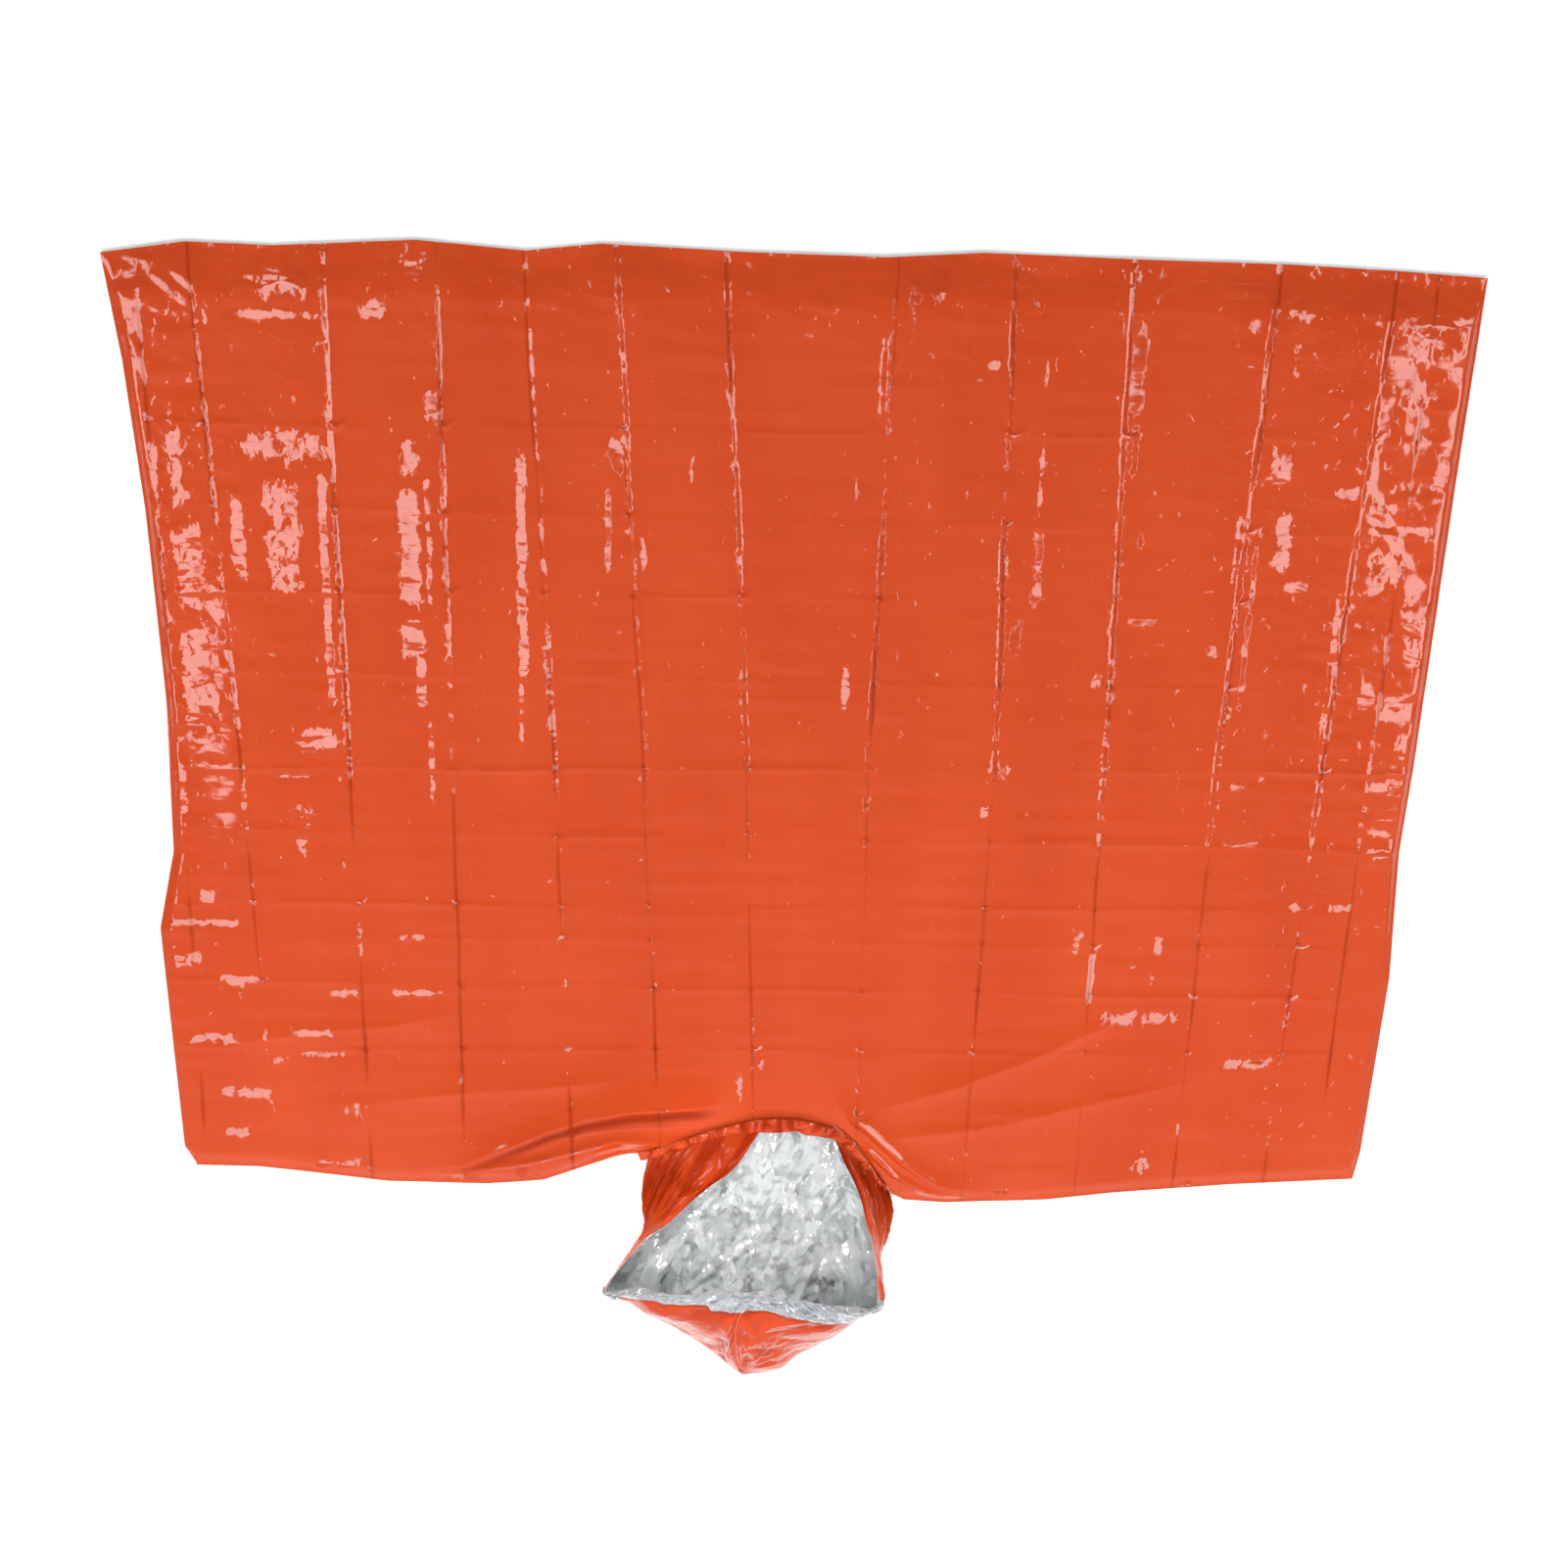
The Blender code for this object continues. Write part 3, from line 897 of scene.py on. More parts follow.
            # painted shade along the crease, deeper in some stretches than others
            painted_shade = 0.46 + 0.44 * third.rolling(y / 0.07 + 5 * number, y * 0 + 2)
            relief.crease += painted_shade * ridge(d, self.crease_width)
        relief.crease = np.clip(relief.crease, 0.0, 1.0)
        return relief

    def cross_relief(self, x: np.ndarray, y: np.ndarray) -> Relief:
        """The cross folds, with the knots where they meet the lengthwise folds.

        Args:
            x: where each point lies across the body.
            y: where it lies along the body.

        Returns:
            What they add to the film.
        """
        relief = Relief.level(x)
        first, second, third = (self.fields[seed] for seed in FIELD_SEEDS)
        for number, cross in enumerate(CROSS_FOLDS):
            wander = 0.0022 * second.rolling(x / 0.10 + 13 * number, x * 0 + number)
            d = y - (cross.y + cross.slant * x + wander)
            comes = np.clip(0.55 + 0.9 * third.rolling(x / 0.09, x * 0 + 3.7 * number), 0, 1)
            relief.height += cross.rise * comes * ridge(d, 0.0022)
            # painted shade along the foot of the cross fold
            painted_shade = 0.40 * comes * ridge(d + 0.0012, 0.0014)
            relief.crease += painted_shade * min(1.0, cross.rise / 0.0008)
            for place, fold in enumerate(LENGTH_FOLDS):
                size = float(first.rolling(np.array(number * 2.3), np.array(place * 1.7)))
                if fold.rise > 0.002 and size > -0.35:
                    aside = x - fold.across(y) - 0.006 * size
                    bent = d - 0.6 * np.abs(aside) * math.copysign(1.0, size)
                    knot = np.exp(-(aside / (0.006 + 0.005 * size)) ** 2 - (bent / 0.0022) ** 2)
                    relief.height += (0.0009 + 0.0010 * size) * knot * eased((y + 0.15) / 0.3)
                    relief.glint = np.maximum(relief.glint, (0.75 + 0.3 * size) * knot)
                    # painted shade in the crook below each knot
                    relief.crease += 0.4 * np.exp(-(aside / 0.008) ** 2
                                                  - ((bent - 0.003) / 0.0016) ** 2)
        relief.crease = np.clip(relief.crease, 0.0, 1.0)
        return relief

    def drag_relief(self, x: np.ndarray, y: np.ndarray) -> Relief:
        """The big folds that the hood's weight pulls across both shoulders.

        Args:
            x: where each point lies across the body.
            y: where it lies along the body.

        Returns:
            What they add to the film.
        """
        relief = Relief.level(x)
        for pull in DRAG_FOLDS:
            d = y - on_line(pull.line, x)
            start, end = pull.line[0][0], pull.line[-1][0]
            reach = eased((x - start) / pull.lead_in) * eased((end - x) / pull.lead_out)
            relief.height += pull.rise * reach * np.where(d > 0, np.exp(-d / pull.above),
                                                          np.exp(d / pull.below))
            # painted shade in the hollow below the crest
            below = (d + pull.below) / (0.8 * pull.below)
            relief.crease += pull.shade * reach * np.exp(-below ** 2)
        relief.crease = np.clip(relief.crease, 0.0, 1.0)
        return relief

    def handling_relief(self, x: np.ndarray, y: np.ndarray) -> tuple[np.ndarray, np.ndarray]:
        """Swells and flat facets that handling leaves, dense along the sides and hem.

        Args:
            x: where each point lies across the body.
            y: where it lies along the body.

        Returns:
            The height and how finely wrinkled the film is, from 0 to 1.
        """
        side = eased((np.abs(x) - 0.46) / 0.14)
        hem = eased((y - 0.40) / 0.10)
        upper = eased((y + 0.25) / 0.4)
        busy = np.clip(0.12 + 0.55 * side * upper + 0.45 * hem + 0.12 * upper, 0, 1.0)
        share = {Where.ALL_OVER: 1.0, Where.HANDLED: busy, Where.HEM: hem}
        height = np.zeros_like(x)
        for swell in SWELLS:
            film = self.fields[swell.seed]
            shape = film.faceted if swell.faceted else film.rolling
            height += swell.height * share[swell.where] * shape(
                x / swell.cell[0] + swell.shift[0], y / swell.cell[1] + swell.shift[1])
        return height, 0.12 + 0.5 * busy

    def tipped_relief(self, x: np.ndarray, y: np.ndarray) -> tuple[np.ndarray, np.ndarray]:
        """The patches that handling has left leaning towards the lamps.

        Args:
            x: where each point lies across the body.
            y: where it lies along the body.

        Returns:
            The height whose slope they lean at, and how surely a point is in one, from
            0 to 1.
        """
        reach = np.linspace(0.0, 0.70, 400)
        lean = 1.16 * np.interp(reach, (0.0, 0.35, 0.62), (0.34, 0.20, 0.11))
        height = -np.interp(np.abs(x), reach, np.cumsum(lean) * reach[1])
        reach = np.linspace(-0.56, 0.0, 400)
        lean = 1.16 * np.interp(reach, (-0.5, -0.2, -0.05), (0.34, 0.16, 0.0))
        height -= np.interp(y, reach, np.cumsum(lean) * (reach[1] - reach[0]))
        inside = np.zeros_like(x)
        for patch in TIPPED_PATCHES:
            near = ((x > patch.left - 0.02) & (x < patch.right + 0.02)
                    & (y > patch.low - 0.02) & (y < patch.high + 0.02))
            if not near.any():
                continue
            px, py = x[near], y[near]
            soft = min(0.009, 0.42 * (patch.right - patch.left))
            share = np.ones_like(px)
            for within in (px - patch.left, patch.right - px):
                share *= eased((within + 0.5 * soft) / (1.5 * soft))
            soft = min(0.014, 0.42 * (patch.high - patch.low))
            for within in (py - patch.low, patch.high - py):
                share *= eased((within + 0.5 * soft) / (1.5 * soft))
            inside[near] = np.maximum(inside[near], share * (1.05 - 0.42 * patch.fray))
        return height, inside

    def front_surface(self, column: np.ndarray, along: np.ndarray) -> tuple:
        """The front film's outer face.

        Args:
            column: where each point would lie across the middle of the body.
            along: from 0 at the shoulder to 1 at the hem.

        Returns:
            The places, the places on the flat film, the crease depth, how finely wrinkled
            the film is and the height of the tipped places.
        """
        flat_y = -HALF_LENGTH + 2 * HALF_LENGTH * along
        x = self.warped(column, flat_y)
        low = on_line(self.shoulder_line, x)
        high = on_line(self.hem_line, x)
        y = low + (high - low) * along
        folds, crosses = self.fold_relief(x, y), self.cross_relief(x, y)
        drags = self.drag_relief(x, y)
        swells, wrinkled = self.handling_relief(x, y)
        tipped, handled = self.tipped_relief(x, y)
        handled = np.maximum(np.maximum(handled, folds.glint),
                             np.maximum(crosses.glint, 0.45 * wrinkled))
        relief = folds.height + crosses.height + swells
        to_side = np.minimum(x - on_line(self.left_line, y), on_line(self.right_line, y) - x)
        free = eased(np.minimum(np.minimum(to_side, y - low), high - y) / 0.012)
        base = self.base_height(x, y, (to_side, y - low, high - y))
        z = base + relief * (0.35 + 0.65 * free) + drags.height
        z = np.maximum(z, self.lowest_front)
        crease = np.clip(folds.crease + crosses.crease + drags.crease, 0, 1)
        flat = np.stack([column, flat_y], axis=-1)
        return np.stack([x, y, z], axis=-1), flat, crease, handled, tipped

    def base_height(self, x: np.ndarray, y: np.ndarray, inside: tuple) -> np.ndarray:
        """How high the front film lies before its folds and swells are added.

        Args:
            x: where each point lies across the body.
            y: where it lies along the body.
            inside: how far it lies from the nearer side, the shoulder edge and the hem.

        Returns:
            The height, which comes down to the welds and to the free edges.
        """
        sealed = eased((y - self.arm_top + 0.02) / 0.04)
        in_neck = eased((0.15 - np.abs(x - NECK_MIDDLE)) / 0.03)
        side = self.seal_height * sealed + self.open_height * (1 - sealed)
        shoulder = self.seal_height * (1 - in_neck) + self.neck_height * in_neck
        base = np.full_like(x, self.front_height)
        for height, distance, reach in zip((side, shoulder, self.open_height), inside,
                                           self.droop):
            rise = eased(distance / reach)
            base = np.minimum(base, height + (self.front_height - height) * rise)
        collar = shoulder * (1 - eased(inside[1] / self.droop[1]))
        return np.where(in_neck > 0.5, np.maximum(base, collar), base)

    def back_surface(self, column: np.ndarray, along: np.ndarray) -> tuple:
        """The back film's outer face, which lies on the ground.

        Args:
            column: where each point would lie across the middle of the body.
            along: from 0 at the shoulder to 1 at the hem.

        Returns:
            The same as for the front film.
        """
        flat_y = -HALF_LENGTH + 2 * HALF_LENGTH * along
        x = self.warped(column, flat_y)
        x = x - 0.0015 * np.sign(x) * eased(np.abs(x) / 0.6)
        high = on_line(self.hem_line, x) - 0.004
        shoulder = on_line(self.shoulder_line, x) + 0.002
        under_neck = eased((0.130 - np.abs(x - NECK_MIDDLE)) / 0.03)
        low = shoulder + (self.back_shoulder_y - shoulder) * under_neck
        y = low + (high - low) * along
        folds = self.fold_relief(x, y)
        swell = 0.5 + 0.5 * self.fields[11].rolling(x / 0.05 + 40, y / 0.06)
        crumples = 0.5 + 0.5 * self.fields[29].faceted(x / 0.03 + 21, y / 0.04)
        z = GROUND_CLEARANCE + 0.14 * folds.height + 0.0003 * swell + 0.0003 * crumples
        flat = np.stack([column, flat_y], axis=-1)
        place = np.stack([x, y, np.minimum(z, self.highest_back)], axis=-1)
        # the back film's folds carry half the front's painted shade
        return place, flat, 0.5 * folds.crease, np.full_like(x, 0.4), np.zeros_like(x)

    def columns(self, low: float, high: float) -> np.ndarray:
        """Columns for a mesh of the front film.

        Args:
            low: where the piece starts across the body.
            high: where it ends.

        Returns:
            Where its columns lie, close together at the folds.
        """
        inner = [fold.middle for fold in LENGTH_FOLDS if low < fold.middle < high]
        quick = 1.0
        return stepped([low] + inner + [high], self.fine_step * quick, self.coarse_step * quick,
                       self.fine_reach)

    def mesh(self, face: Face, name: str, columns: np.ndarray) -> bpy.types.Object:
        """Make one piece of a film.

        Args:
            face: the front or the back film.
            name: the piece's name.
            columns: its columns across the middle of the body.

        Returns:
            The piece.
        """
        step = self.row_step if face is Face.FRONT else self.back_step
        stops = sorted((HALF_LENGTH + cross.y) / (2 * HALF_LENGTH) for cross in CROSS_FOLDS
                       if cross.rise > 0.0010)
        rows = stepped([0.0] + stops + [1.0], 0.6 * step, step, 0.008)
        column, along = np.meshgrid(columns, rows)
        surface = self.front_surface if face is Face.FRONT else self.back_surface
        place, flat, crease, handled, tipped = surface(column, along)
        return film_piece(name, place, flat, crease, (self.outer_finish, self.inner_finish),
                          handled=handled, tipped=tipped, turned=face is Face.BACK)

    def build(self) -> None:
        """Make both films and join them to the bodies that fold them."""
        edges = [self.left_end()] + [fold.middle for fold in LENGTH_FOLDS[1::2]]
        edges.append(self.right_end())
        for (name, nodes), low, high in zip(FRONT_PIECES.items(), edges, edges[1:]):
            piece = self.mesh(Face.FRONT, f"front_film_{name}", self.columns(low, high))
            self.join(piece, low, high)
            if nodes:
                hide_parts(*nodes)
        for name, low, high, nodes in (
                ("left", self.left_end(), 0.0, ("back_panel_left", "back_panel_middle")),
                ("right", 0.0, self.right_end(), ("back_panel_right",))):
            count = round((high - low) / (self.back_step * 1))
            piece = self.mesh(Face.BACK, f"back_film_{name}", np.linspace(low, high, count))
            self.join(piece, low, high)
            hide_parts(*nodes)

    def join(self, piece: bpy.types.Object, low: float, high: float) -> None:
        """Bake the transform of a piece that crosses a side crease, or let it ride on one body.

        Args:
            piece: the piece.
            low: where its left edge lies across the body.
            high: where its right edge lies.
        """
        creases = {side: side_crease(side) for side in ("left", "right")}
        for side, crease in creases.items():
            if low < crease < high:
                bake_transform(piece)
                return
        if high < creases["left"]:
            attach(piece, "left_side")
        elif low > creases["right"]:
            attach(piece, "right_side")
        else:
            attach(piece, "torso")


def side_crease(side: str) -> float:
    """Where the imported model's side folds: between its middle panel and its side panel."""
    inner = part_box("front_panel_middle")
    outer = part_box(f"front_panel_{side}")
    if side == "left":
        return (inner[0][0] + outer[1][0]) / 2
    return (inner[1][0] + outer[0][0]) / 2


# ---------------------------------------------------------------- the hood


def join_hood(piece: bpy.types.Object, node: str, bends: bool = False) -> None:
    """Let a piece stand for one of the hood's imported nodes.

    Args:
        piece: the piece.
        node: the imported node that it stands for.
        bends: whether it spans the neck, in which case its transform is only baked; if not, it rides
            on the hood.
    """
    if bends:
        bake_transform(piece)
    else:
        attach(piece, "hood")
    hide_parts(node)


@dataclass(frozen=True)
class HoodHalf:
    """One half of the hood, through stations from the neck to the tip.

    Each station holds the outer fold, where the back turns up into the side, and the
    upper edge, which is the rim of the face opening as far as the brow and the crown
    weld after it.  The neck station also holds the point between them.  cuff_depth is how
    deep the brow edge is turned back at each of CUFF_STATIONS, and cuff_area its flat area.
    """

    side: str
    sign: int
    outer: tuple
    upper: tuple
    neck_bulge: tuple
    cuff_depth: tuple
    cuff_area: float


CUFF_STATIONS = (4.8, 5.0, 5.6, 6.4, 7.0, 7.5, 7.6, 8.0, 8.5)
BACK_LINE = ((-0.004, -0.446, 0.0040), (-0.009, -0.505, 0.0030), (-0.014, -0.550, 0.0018),
             (-0.018, -0.590, 0.0014), (-0.020, -0.620, 0.0014), (-0.023, -0.655, 0.0014),
             (-0.025, -0.690, 0.0014), (-0.026, -0.725, 0.0014), (-0.027, -0.750, 0.0016),
             (-0.027, -0.764, 0.0020), (-0.027, -0.774, 0.0030))
CROWN = ((-0.030, -0.6115, 0.074), (-0.035, -0.680, 0.052), (-0.029, -0.762, 0.013))
LEFT_HALF = HoodHalf(
    "left", -1,
    outer=((-0.133, -0.484, 0.006), (-0.139, -0.516, 0.006), (-0.137, -0.548, 0.006),
           (-0.136, -0.576, 0.006), (-0.147, -0.606, 0.007), (-0.160, -0.640, 0.008),
           (-0.138, -0.686, 0.007), (-0.101, -0.713, 0.006), (-0.064, -0.741, 0.006),
           (-0.042, -0.763, 0.006), (-0.0285, -0.776, 0.006)),
    upper=((-0.012, -0.441, 0.0115), (-0.0405, -0.4861, 0.021), (-0.0747, -0.5113, 0.032),
           (-0.1091, -0.542, 0.042), (-0.1434, -0.5722, 0.048), (-0.1784, -0.6299, 0.050),
           (-0.1427, -0.6168, 0.058), (-0.0995, -0.6208, 0.066)) + CROWN,
    neck_bulge=(-0.072, -0.455, 0.0125),
    cuff_depth=(0.004, 0.012, 0.015, 0.016, 0.014, 0.022, 0.035, 0.036, 0.003),
    cuff_area=0.0032)
RIGHT_HALF = HoodHalf(
    "right", 1,
    outer=((0.122, -0.512, 0.006), (0.130, -0.530, 0.006), (0.130, -0.552, 0.006),
           (0.127, -0.580, 0.006), (0.119, -0.612, 0.007), (0.121, -0.655, 0.008),
           (0.099, -0.690, 0.007), (0.072, -0.724, 0.006), (0.036, -0.748, 0.006),
           (0.014, -0.769, 0.006), (-0.0260, -0.778, 0.006)),
    upper=((0.0650, -0.447, 0.0115), (0.0755, -0.473, 0.023), (0.0924, -0.5064, 0.035),
           (0.1034, -0.5436, 0.044), (0.1117, -0.5708, 0.050), (0.1186, -0.6394, 0.055),
           (0.0930, -0.6380, 0.061), (0.0500, -0.6280, 0.069)) + CROWN,
    neck_bulge=(0.102, -0.478, 0.0125),
    cuff_depth=(0.004, 0.016, 0.026, 0.034, 0.038, 0.038, 0.038, 0.036, 0.003),
    cuff_area=0.0047)


@dataclass
class Hood:
    """The hood, lying open on its back, with its brow edge turned back."""

    columns: int = 150
    rows: int = 190
    corner: float = 5.0           # station of the corner of the face opening
    brow: float = 8.0             # station of the middle of the brow
    stations: int = 11
    bulge: float = 0.008          # of the side wall
    wall_foot: float = 0.0062     # how far over the ground clearance the wall must stay
    pleat_height: float = 0.0042
    pleats: float = 25.0          # to the width of a half, where it is gathered to the neck
    outer_finish: bpy.types.Material | None = None
    inner_finish: bpy.types.Material | None = None
    cuff_finish: bpy.types.Material | None = None
    crumple: Crumple = field(default_factory=lambda: Crumple(83))

    def sections(self, half: HoodHalf) -> np.ndarray:
        """Lay out the key points of one half.

        Args:
            half: which half.

        Returns:
            Stations by five points: the middle of the back, the lying film, the outer
            fold, the middle of the wall and the upper edge.
        """
        back, outer, upper = np.array(BACK_LINE), np.array(half.outer), np.array(half.upper)
        ground = back * 0.42 + outer * 0.58
        ground[:, 2] = back[:, 2]
        ground[0, :2] = (half.sign * 0.064, -0.450)
        middle = (outer + upper) / 2
        middle[:, 0] += half.sign * self.bulge * np.interp(np.arange(len(middle)), (0, 9, 10),
                                                           (1.0, 0.35, 0.0))
        middle[:, 2] += 0.002
        middle[:, 2] += np.interp(np.arange(len(middle)), (4, 6, 8, 10), (0, 0.010, 0.010, 0))
        middle[0] = half.neck_bulge
        return np.stack([back, ground, outer, middle, upper], axis=1)

    def surface(self, half: HoodHalf) -> tuple[np.ndarray, np.ndarray, np.ndarray]:
        """The outer face of one half, crumpled and pleated.

        Args:
            half: which half.

        Returns:
            The places, their outward normals and the crease depth with its painted shade, rows
            from the neck to the tip and columns from the middle of the back to the upper edge.
        """
        scale = 1.0
        rows, columns = round(self.rows * scale), round(self.columns * scale)
        keys = smooth_through(self.sections(half), rows)
        place = np.swapaxes(smooth_through(np.swapaxes(keys, 0, 1), columns), 0, 1)
        station, across = np.meshgrid(np.linspace(0, self.stations - 1, rows),
                                      np.linspace(0, 1, columns), indexing="ij")
        u, v = paced(place).transpose(2, 0, 1)
        push, lowest, crease = self.relief(station, across, u * half.sign, v)
        place = place + facing(place) * half.sign * push[..., None]
        place[..., 2] = np.maximum(place[..., 2], lowest)
        return place, facing(place) * half.sign, crease

    def relief(self, station: np.ndarray, across: np.ndarray, u: np.ndarray,
               v: np.ndarray) -> tuple[np.ndarray, np.ndarray, np.ndarray]:
        """How the film of a half departs from its smooth shape.

        Args:
            station: how many stations each point lies from the neck.
            across: from 0 at the middle of the back to 1 at the upper edge.
            u: where it lies on the flat film across the half, in metres.
            v: where it lies on the flat film along the half, in metres.

        Returns:
            How far each point is pushed outwards, the lowest that it may then lie, and the
            crease depth, which carries painted shade in the pleats and over the wall near the neck
            and the crown.
        """
        wall = eased((across - 0.45) / 0.12)
        near_neck = 1 - eased((station - 1.5) / 3.2)
        big = self.crumple.faceted(u / 0.020, v / 0.034)
        middle = self.crumple.faceted(u / 0.010 + 9, v / 0.016 + 4)
        small = self.crumple.faceted(u / 0.0055 + 3, v / 0.0065 + 8)
        # the wall is crumpled, and pleated where it is gathered to the neck
        slack = 1 - 0.35 * eased((station - 5.2) / 1.0) * eased((across - 0.5) / 0.1)
        crumpled = (0.0030 * big + 0.0013 * middle + 0.0006 * small) * slack
        fold = self.crumple.faceted(across * self.pleats, station * 0.45 + 2)
        pleat = 1 - 2 * np.sqrt(np.abs(fold))
        rough = crumpled + self.pleat_height * near_neck * np.maximum(pleat, -0.45)
        # the back lies on the ground, so its creases only stand up into the hood, and it
        # is calmer where the wall or the crown lies over it
        drawn = self.crumple.faceted(u / 0.013 + 0.9 * v / 0.05, v / 0.075 + 6)
        lying = -np.abs(crumpled) * 1.3 - 0.0011 * (1 + middle) - 0.0028 * (1 + drawn)
        covered = eased((across - 0.22) / 0.12) * (1 - eased((station - 3.2) / 1.5))
        under_crown = eased((across - 0.25) / 0.12) * eased((station - 5.2) / 1.0)
        lying = lying * (1 - 0.92 * covered) * (1 - 0.92 * under_crown)
        # both are stiff at the fold between them, at the seam, at the neck and at the tip
        flat_fold = np.exp(-((across - 0.5) / 0.10) ** 2)
        push = rough * wall + lying * (1 - 0.97 * flat_fold) * (1 - wall)
        push = push * (1 - 0.65 * eased((across - 0.90) / 0.10))
        push = push * (1 - 0.70 * np.exp(-((across - 0.5) / 0.05) ** 2))
        push = push * eased(station + 0.10) * (1 - 0.8 * eased((station - 9.0) / 0.8))
        lowest = GROUND_CLEARANCE + 0.0004 * (1 + small)
        lowest = lowest + self.wall_foot * eased((across - 0.47) / 0.08)
        # painted shade: deeper colour and duller gloss in the hollows of the pleats and big crumples,
        # and over the whole wall near the neck and over the crown
        crease = 0.9 * wall * near_neck * np.clip(-pleat, 0, 1) + 0.30 * wall * np.clip(-big, 0, 1)
        crease = crease + wall * (0.60 * eased((station - 5.0) / 1.5) + 0.62 * near_neck)
        return push, lowest, np.clip(crease, 0, 1)

    def half_piece(self, half: HoodHalf, place: np.ndarray, crease: np.ndarray) -> None:
        """Make one half of the hood.

        Args:
            half: which half.
            place: its outer face.
            crease: how deep the painted shade in the creases and on the wall is, from 0 to 1.
        """
        piece = film_piece(f"hood_{half.side}", place, paced(place), crease,
                           (self.outer_finish, self.inner_finish),
                           handled=np.interp(place[..., 1], (-0.64, -0.56), (0.12, 0.8)),
                           rim=1, turned=half.sign < 0)
        join_hood(piece, f"hood_{half.side}_half", bends=True)

    def cuff(self, half: HoodHalf, place: np.ndarray, normal: np.ndarray) -> None:
        """Turn the brow edge back over the crown, so that its metallised face shows.

        Args:
            half: which half.
            place: the half's outer face.
            normal: its outward normals.
        """
        rows, columns = place.shape[:2]
        along = np.linspace(self.corner - 0.12, self.brow + 0.5, 100)
        depth = np.interp(along, CUFF_STATIONS, half.cuff_depth)
        depth = depth + 0.0016 * self.crumple.faceted(along * 3, along * 0 + half.sign)
        down = np.linspace(0.0, 1.0, 14)
        row = along / (self.stations - 1) * (rows - 1)
        base = row.astype(int).clip(0, rows - 2)
        share = (row - base)[:, None, None]
        strip = place[base] * (1 - share) + place[base + 1] * share
        out = normal[base] * (1 - share) + normal[base + 1] * share
        length = np.linalg.norm(np.diff(strip, axis=1), axis=-1)
        from_edge = np.concatenate([np.cumsum(length[:, ::-1], axis=1)[:, ::-1],
                                    np.zeros((len(along), 1))], axis=1)
        wanted = depth[:, None] * down[None]
        result = np.empty((len(along), len(down), 3))
        for number in range(len(along)):
            for axis in range(3):
                on = np.interp(wanted[number], from_edge[number, ::-1], strip[number, ::-1, axis])
                off = np.interp(wanted[number], from_edge[number, ::-1], out[number, ::-1, axis])
                lift = 0.0004 + 0.0026 * eased(down / 0.3)
                result[number, :, axis] = on + off * lift
        crinkle = self.crumple.faceted(along[:, None] * 7, wanted / 0.009 + 3)
        result[..., 2] += 0.0008 * crinkle * eased(down / 0.4)[None]
        piece = film_piece(f"hood_{half.side}_brow_cuff", result, paced(result),
                           np.zeros(result.shape[:2]), (self.cuff_finish, self.outer_finish),
                           turned=half.sign > 0)
        join_hood(piece, f"hood_{half.side}_cuff")

    def crown_weld(self, place: np.ndarray) -> None:
        """Make the fin of welded film over the crown, lying to one side of the seam.

        Args:
            place: the outer face of the left half, whose upper edge is the seam.
        """
        rows = place.shape[0]
        first = round((self.brow + 0.55) / (self.stations - 1) * (rows - 1))
        seam = place[first:, -1]
        over = np.linspace(0.0, 1.0, 5)[None, :, None]
        lean = np.array([-0.0022, 0.0003, 0.0004])
        fin = seam[:, None, :] + np.array([0.0008, 0.0, 0.0008]) + over * lean
        piece = film_piece("hood_crown_weld", fin, paced(fin), np.full(fin.shape[:2], 0.3),
                           (self.outer_finish, self.outer_finish), turned=True)
        join_hood(piece, "hood_centre_seal")

    def build(self) -> None:
        """Make both halves, their cuffs and the weld over the crown."""
        for half in (LEFT_HALF, RIGHT_HALF):
            place, normal, crease = self.surface(half)
            self.half_piece(half, place, crease)
            self.cuff(half, place, normal)
            if half is LEFT_HALF:
                self.crown_weld(place)


# ---------------------------------------------------------------- welds


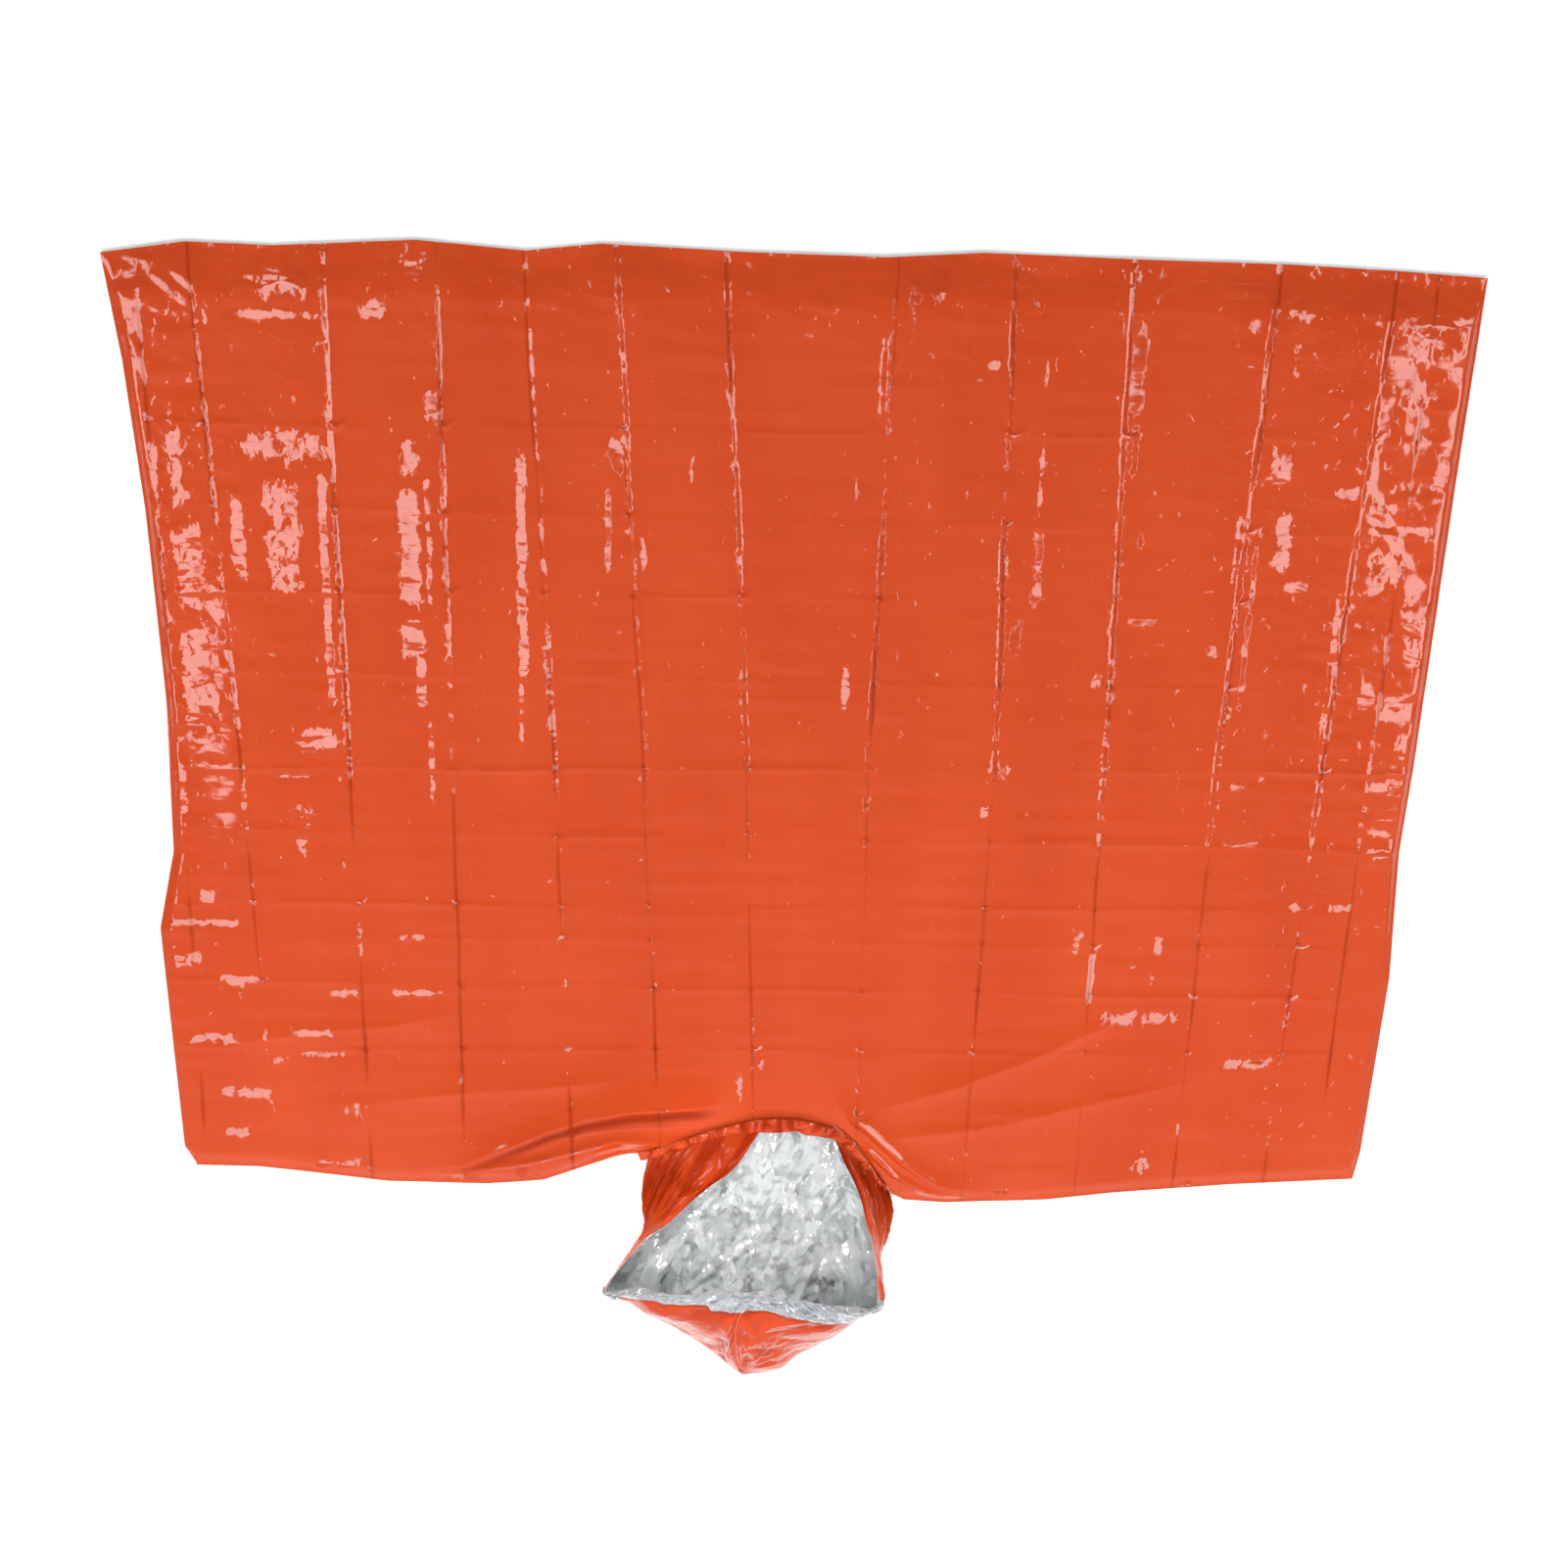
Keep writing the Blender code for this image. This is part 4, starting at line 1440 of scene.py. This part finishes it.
@dataclass
class Welds:
    """The heat-sealed bands: down the sides, along the shoulders and round the neck."""

    films: BodyFilms
    width: float = 0.010
    top: float = 0.0024
    thickness: float = 0.0006
    inset: float = 0.0006
    neck_start: float = -0.146
    neck_end: float = 0.127
    collar: float = 0.014       # from the neck line down to the face opening
    tuck: float = 0.003         # how far it reaches up under the front film
    neck_height: float = 0.0115
    neck_swell: float = 0.0034
    gather_height: float = 0.0018
    gather_cell: float = 0.0070
    end_height: float = 0.0075  # where it runs out into the shoulder welds
    finish: bpy.types.Material | None = None
    crumple: Crumple = field(default_factory=lambda: Crumple(101))

    def band(self, name: str, body: str, node: str, edge: np.ndarray, inward: np.ndarray) -> None:
        """Make one flat welded band along an edge.

        Args:
            name: the piece's name.
            body: the body that it rides on.
            node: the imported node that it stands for.
            edge: points along the edge, two coordinates each.
            inward: the unit direction from the edge into the body, for each point.
        """
        over = np.linspace(0.0, 1.0, 5)
        flat_place = edge[:, None] + inward[:, None] * (self.inset + self.width * over)[None, :, None]
        crimp = 0.0001 * np.sin(np.arange(len(edge)) * 1.3)[:, None] * np.ones_like(over)
        place = np.concatenate([flat_place, (self.top + crimp)[..., None]], axis=-1)
        piece = film_piece(name, place, paced(place), np.full(place.shape[:2], 0.3),
                           (self.finish, self.finish), self.thickness,
                           turned=np.cross(inward[0], edge[-1] - edge[0]) < 0)
        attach(piece, body)
        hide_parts(node)

    def sides(self) -> None:
        """The side welds, from the arm openings to the hem."""
        y = np.linspace(self.films.arm_top, 0.500, 240)
        for side, sign, line in (("left", -1, self.films.left_line),
                                 ("right", 1, self.films.right_line)):
            edge = np.stack([on_line(line, y), y], axis=-1)
            inward = np.tile(np.array([-sign, 0.0]), (len(y), 1))
            self.band(f"{side}_side_weld", f"{side}_side", f"{side}_side_seal", edge, inward)

    def shoulders(self) -> None:
        """The shoulder welds, in two lengths that part at the side creases."""
        crease = LENGTH_FOLDS[2].shoulder
        spans = (("left_shoulder_weld_outer", "left_side", "left_shoulder_seal_outer", -0.612,
                  crease - 0.004),
                 ("left_shoulder_weld", "torso", "left_shoulder_seal", crease + 0.004, -0.150),
                 ("right_shoulder_weld", "torso", "right_shoulder_seal", 0.134, 0.432),
                 ("right_shoulder_weld_outer", "right_side", "right_shoulder_seal_outer", 0.440,
                  0.626))
        for name, body, node, low, high in spans:
            x = np.linspace(low, high, 90)
            edge = np.stack([x, on_line(self.films.shoulder_line, x)], axis=-1)
            self.band(name, body, node, edge, np.tile(np.array([0.0, 1.0]), (len(x), 1)))

    def neck(self) -> None:
        """The gathered band that joins the hood to the neck, down to the face opening."""
        x = smooth_through(np.linspace(self.neck_start, self.neck_end, 9), 320)
        line = np.stack([x, on_line(self.films.shoulder_line, x)], axis=-1)
        kernel = np.ones(21) / 21
        for axis in range(2):
            padded_line = np.pad(line[:, axis], 10, mode="edge")
            line[:, axis] = np.convolve(padded_line, kernel, mode="valid")
        along = np.gradient(line, axis=0)
        along /= np.linalg.norm(along, axis=1, keepdims=True)
        down = np.stack([along[:, 1], -along[:, 0]], axis=-1)
        over = np.linspace(0.0, 1.0, 26)
        pace = np.concatenate([[0.0], np.cumsum(np.linalg.norm(np.diff(line, axis=0), axis=1))])
        s, k = np.meshgrid(pace, over, indexing="ij")
        reach = self.collar * (0.55 + 0.45 * eased((0.085 - np.abs(x - 0.01)) / 0.05))
        ragged = 1 + 0.16 * self.crumple.rolling(s / 0.012, k * 0 + 2)
        spread = -self.tuck + (reach[:, None] + self.tuck) * k * ragged
        gather = 1 - 2 * np.sqrt(np.abs(self.crumple.faceted(s / self.gather_cell, k * 0.9)))
        swell = np.sqrt(np.clip(1 - (2.0 * k - 0.8) ** 2, 0, 1))
        z = (self.neck_height + self.neck_swell * swell
             + self.gather_height * gather * (0.3 + 0.7 * swell))
        ends = eased(s / 0.02) * eased((pace[-1] - s) / 0.02)
        z = self.end_height + (z - self.end_height) * ends
        xy = line[:, None] + down[:, None] * spread[..., None]
        place = np.concatenate([xy, z[..., None]], axis=-1)
        # painted shade in the hollows of the gathers
        crease = np.clip(0.25 - gather, 0, 1)
        piece = film_piece("neck_gather", place, paced(place), crease,
                           (self.finish, self.finish), turned=True)
        join_hood(piece, "neck_seal", bends=True)

    def build(self) -> None:
        """Make every band."""
        self.sides()
        self.shoulders()
        self.neck()


# ---------------------------------------------------------------- studio


@dataclass(frozen=True)
class SoftBox:
    """A rectangular lamp: where it hangs, what it points at, its size and its power.

    A fill that is not mirrored stands for light bounced softly off the walls.
    """

    name: str
    place: tuple
    at: tuple
    size: tuple
    power: float
    mirrored: bool = True
    spread: float = 180.0       # degrees, narrower with a grid over the lamp

    def hang(self) -> None:
        """Hang the lamp and turn it to its point."""
        lamp = bpy.data.lights.new(self.name, "AREA")
        lamp.shape = "RECTANGLE"
        lamp.size, lamp.size_y = self.size
        lamp.energy = self.power
        lamp.spread = math.radians(self.spread)
        holder = bpy.data.objects.new(self.name, lamp)
        holder.location = self.place
        facing_way = Vector(self.at) - Vector(self.place)
        holder.rotation_euler = facing_way.to_track_quat("-Z", "Y").to_euler()
        holder.visible_camera = False
        holder.visible_glossy = self.mirrored
        bpy.context.scene.collection.objects.link(holder)


@dataclass(frozen=True)
class Studio:
    """A white paper floor, a long soft box over each side, four fills, a room, a camera."""

    camera_place: tuple = (-0.0807, 1.2507, 2.4986)
    camera_turn: tuple = (-0.47484, -0.01880, 0.02716)
    lens: float = 64.126
    sensor: float = 36.0
    boxes: tuple = (
        SoftBox("soft_box_left", (-1.64, -0.42, 2.0), (-0.9, -0.35, 0.0), (1.50, 0.62), 19.0),
        SoftBox("soft_box_right", (1.60, -0.42, 2.0), (0.9, -0.35, 0.0), (1.50, 0.62), 19.0),
        SoftBox("fill_behind_camera", (0.0, 3.2, 2.9), (0.0, 0.2, 0.0), (4.0, 2.0), 6.0, False),
        SoftBox("fill_overhead", (0.0, -0.6, 2.6), (0.0, -0.6, 0.0), (2.2, 0.8), 17.0, False),
        SoftBox("fill_into_hood", (-0.1, 1.7, 1.7), (-0.03, -0.69, 0.03), (0.12, 0.12), 0.30,
                False, 8.0),
        SoftBox("fill_at_hood", (-0.3, -2.7, 2.2), (0.0, -0.3, 0.0), (3.6, 1.2), 48.0, False),
    )
    room: str = "#F4F5F7"
    glow: float = 0.30          # of the ceiling over the poncho
    far_glow: float = 0.78      # of the pale wall beyond the hood

    def floor(self) -> None:
        """Lay the paper."""
        deselect_all()
        bpy.ops.mesh.primitive_plane_add(size=14.0)
        floor = bpy.context.object
        floor.name = "floor"
        floor.data.materials.append(StudioPaper().make())
        floor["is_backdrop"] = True

    def light(self) -> None:
        """Hang the lamps and set the room's own glow."""
        for box in self.boxes:
            box.hang()
        world = bpy.data.worlds.new("pale_room")
        world.use_nodes = True
        way = add_node(world, "ShaderNodeTexCoord")
        parts = add_node(world, "ShaderNodeSeparateXYZ", {}, {"Vector": (way, "Generated")})
        glow = add_node(world, "ShaderNodeMapRange",
                        {"interpolation_type": "SMOOTHSTEP", "From Min": -0.22, "From Max": -0.72,
                         "To Min": self.glow, "To Max": self.far_glow}, {"Value": (parts, "Y")})
        background = world.node_tree.nodes["Background"]
        background.inputs["Color"].default_value = linear(self.room)
        world.node_tree.links.new(glow.outputs["Result"], background.inputs["Strength"])
        bpy.context.scene.world = world
        bpy.context.scene.view_settings.view_transform = "Standard"

    def camera(self) -> None:
        """Look down on the poncho from over its hem."""
        data = bpy.data.cameras.new("camera")
        data.lens, data.sensor_width = self.lens, self.sensor
        holder = bpy.data.objects.new("camera", data)
        holder.location = self.camera_place
        holder.rotation_euler = self.camera_turn
        bpy.context.scene.collection.objects.link(holder)
        bpy.context.scene.camera = holder

    def build(self) -> None:
        """Set up the whole studio."""
        self.camera()
        self.floor()
        self.light()


def main() -> None:
    """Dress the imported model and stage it."""
    logging.basicConfig(level=logging.INFO, format="%(name)s: %(message)s")
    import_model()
    Studio().build()
    orange, silver = PigmentedFilm().make(), MetallisedFilm().make()
    films = BodyFilms(outer_finish=orange, inner_finish=silver)
    films.build()
    # a darker copy of the silver for the turned-back cuffs, painted shade that keeps them from
    # burning out under the lamps
    shaded_cuff_silver = MetallisedFilm("turned_back_metallised_film", "#D4D7D8", "#A9ADAF", 0.70,
                                    facets_per_m=(55.0, 90.0)).make()
    Hood(outer_finish=orange, inner_finish=silver, cuff_finish=shaded_cuff_silver).build()
    Welds(films=films, finish=orange).build()
    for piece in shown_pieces():
        log.info("%s: %d faces", piece.name, len(piece.data.polygons))


if __name__ == "__main__":
    main()
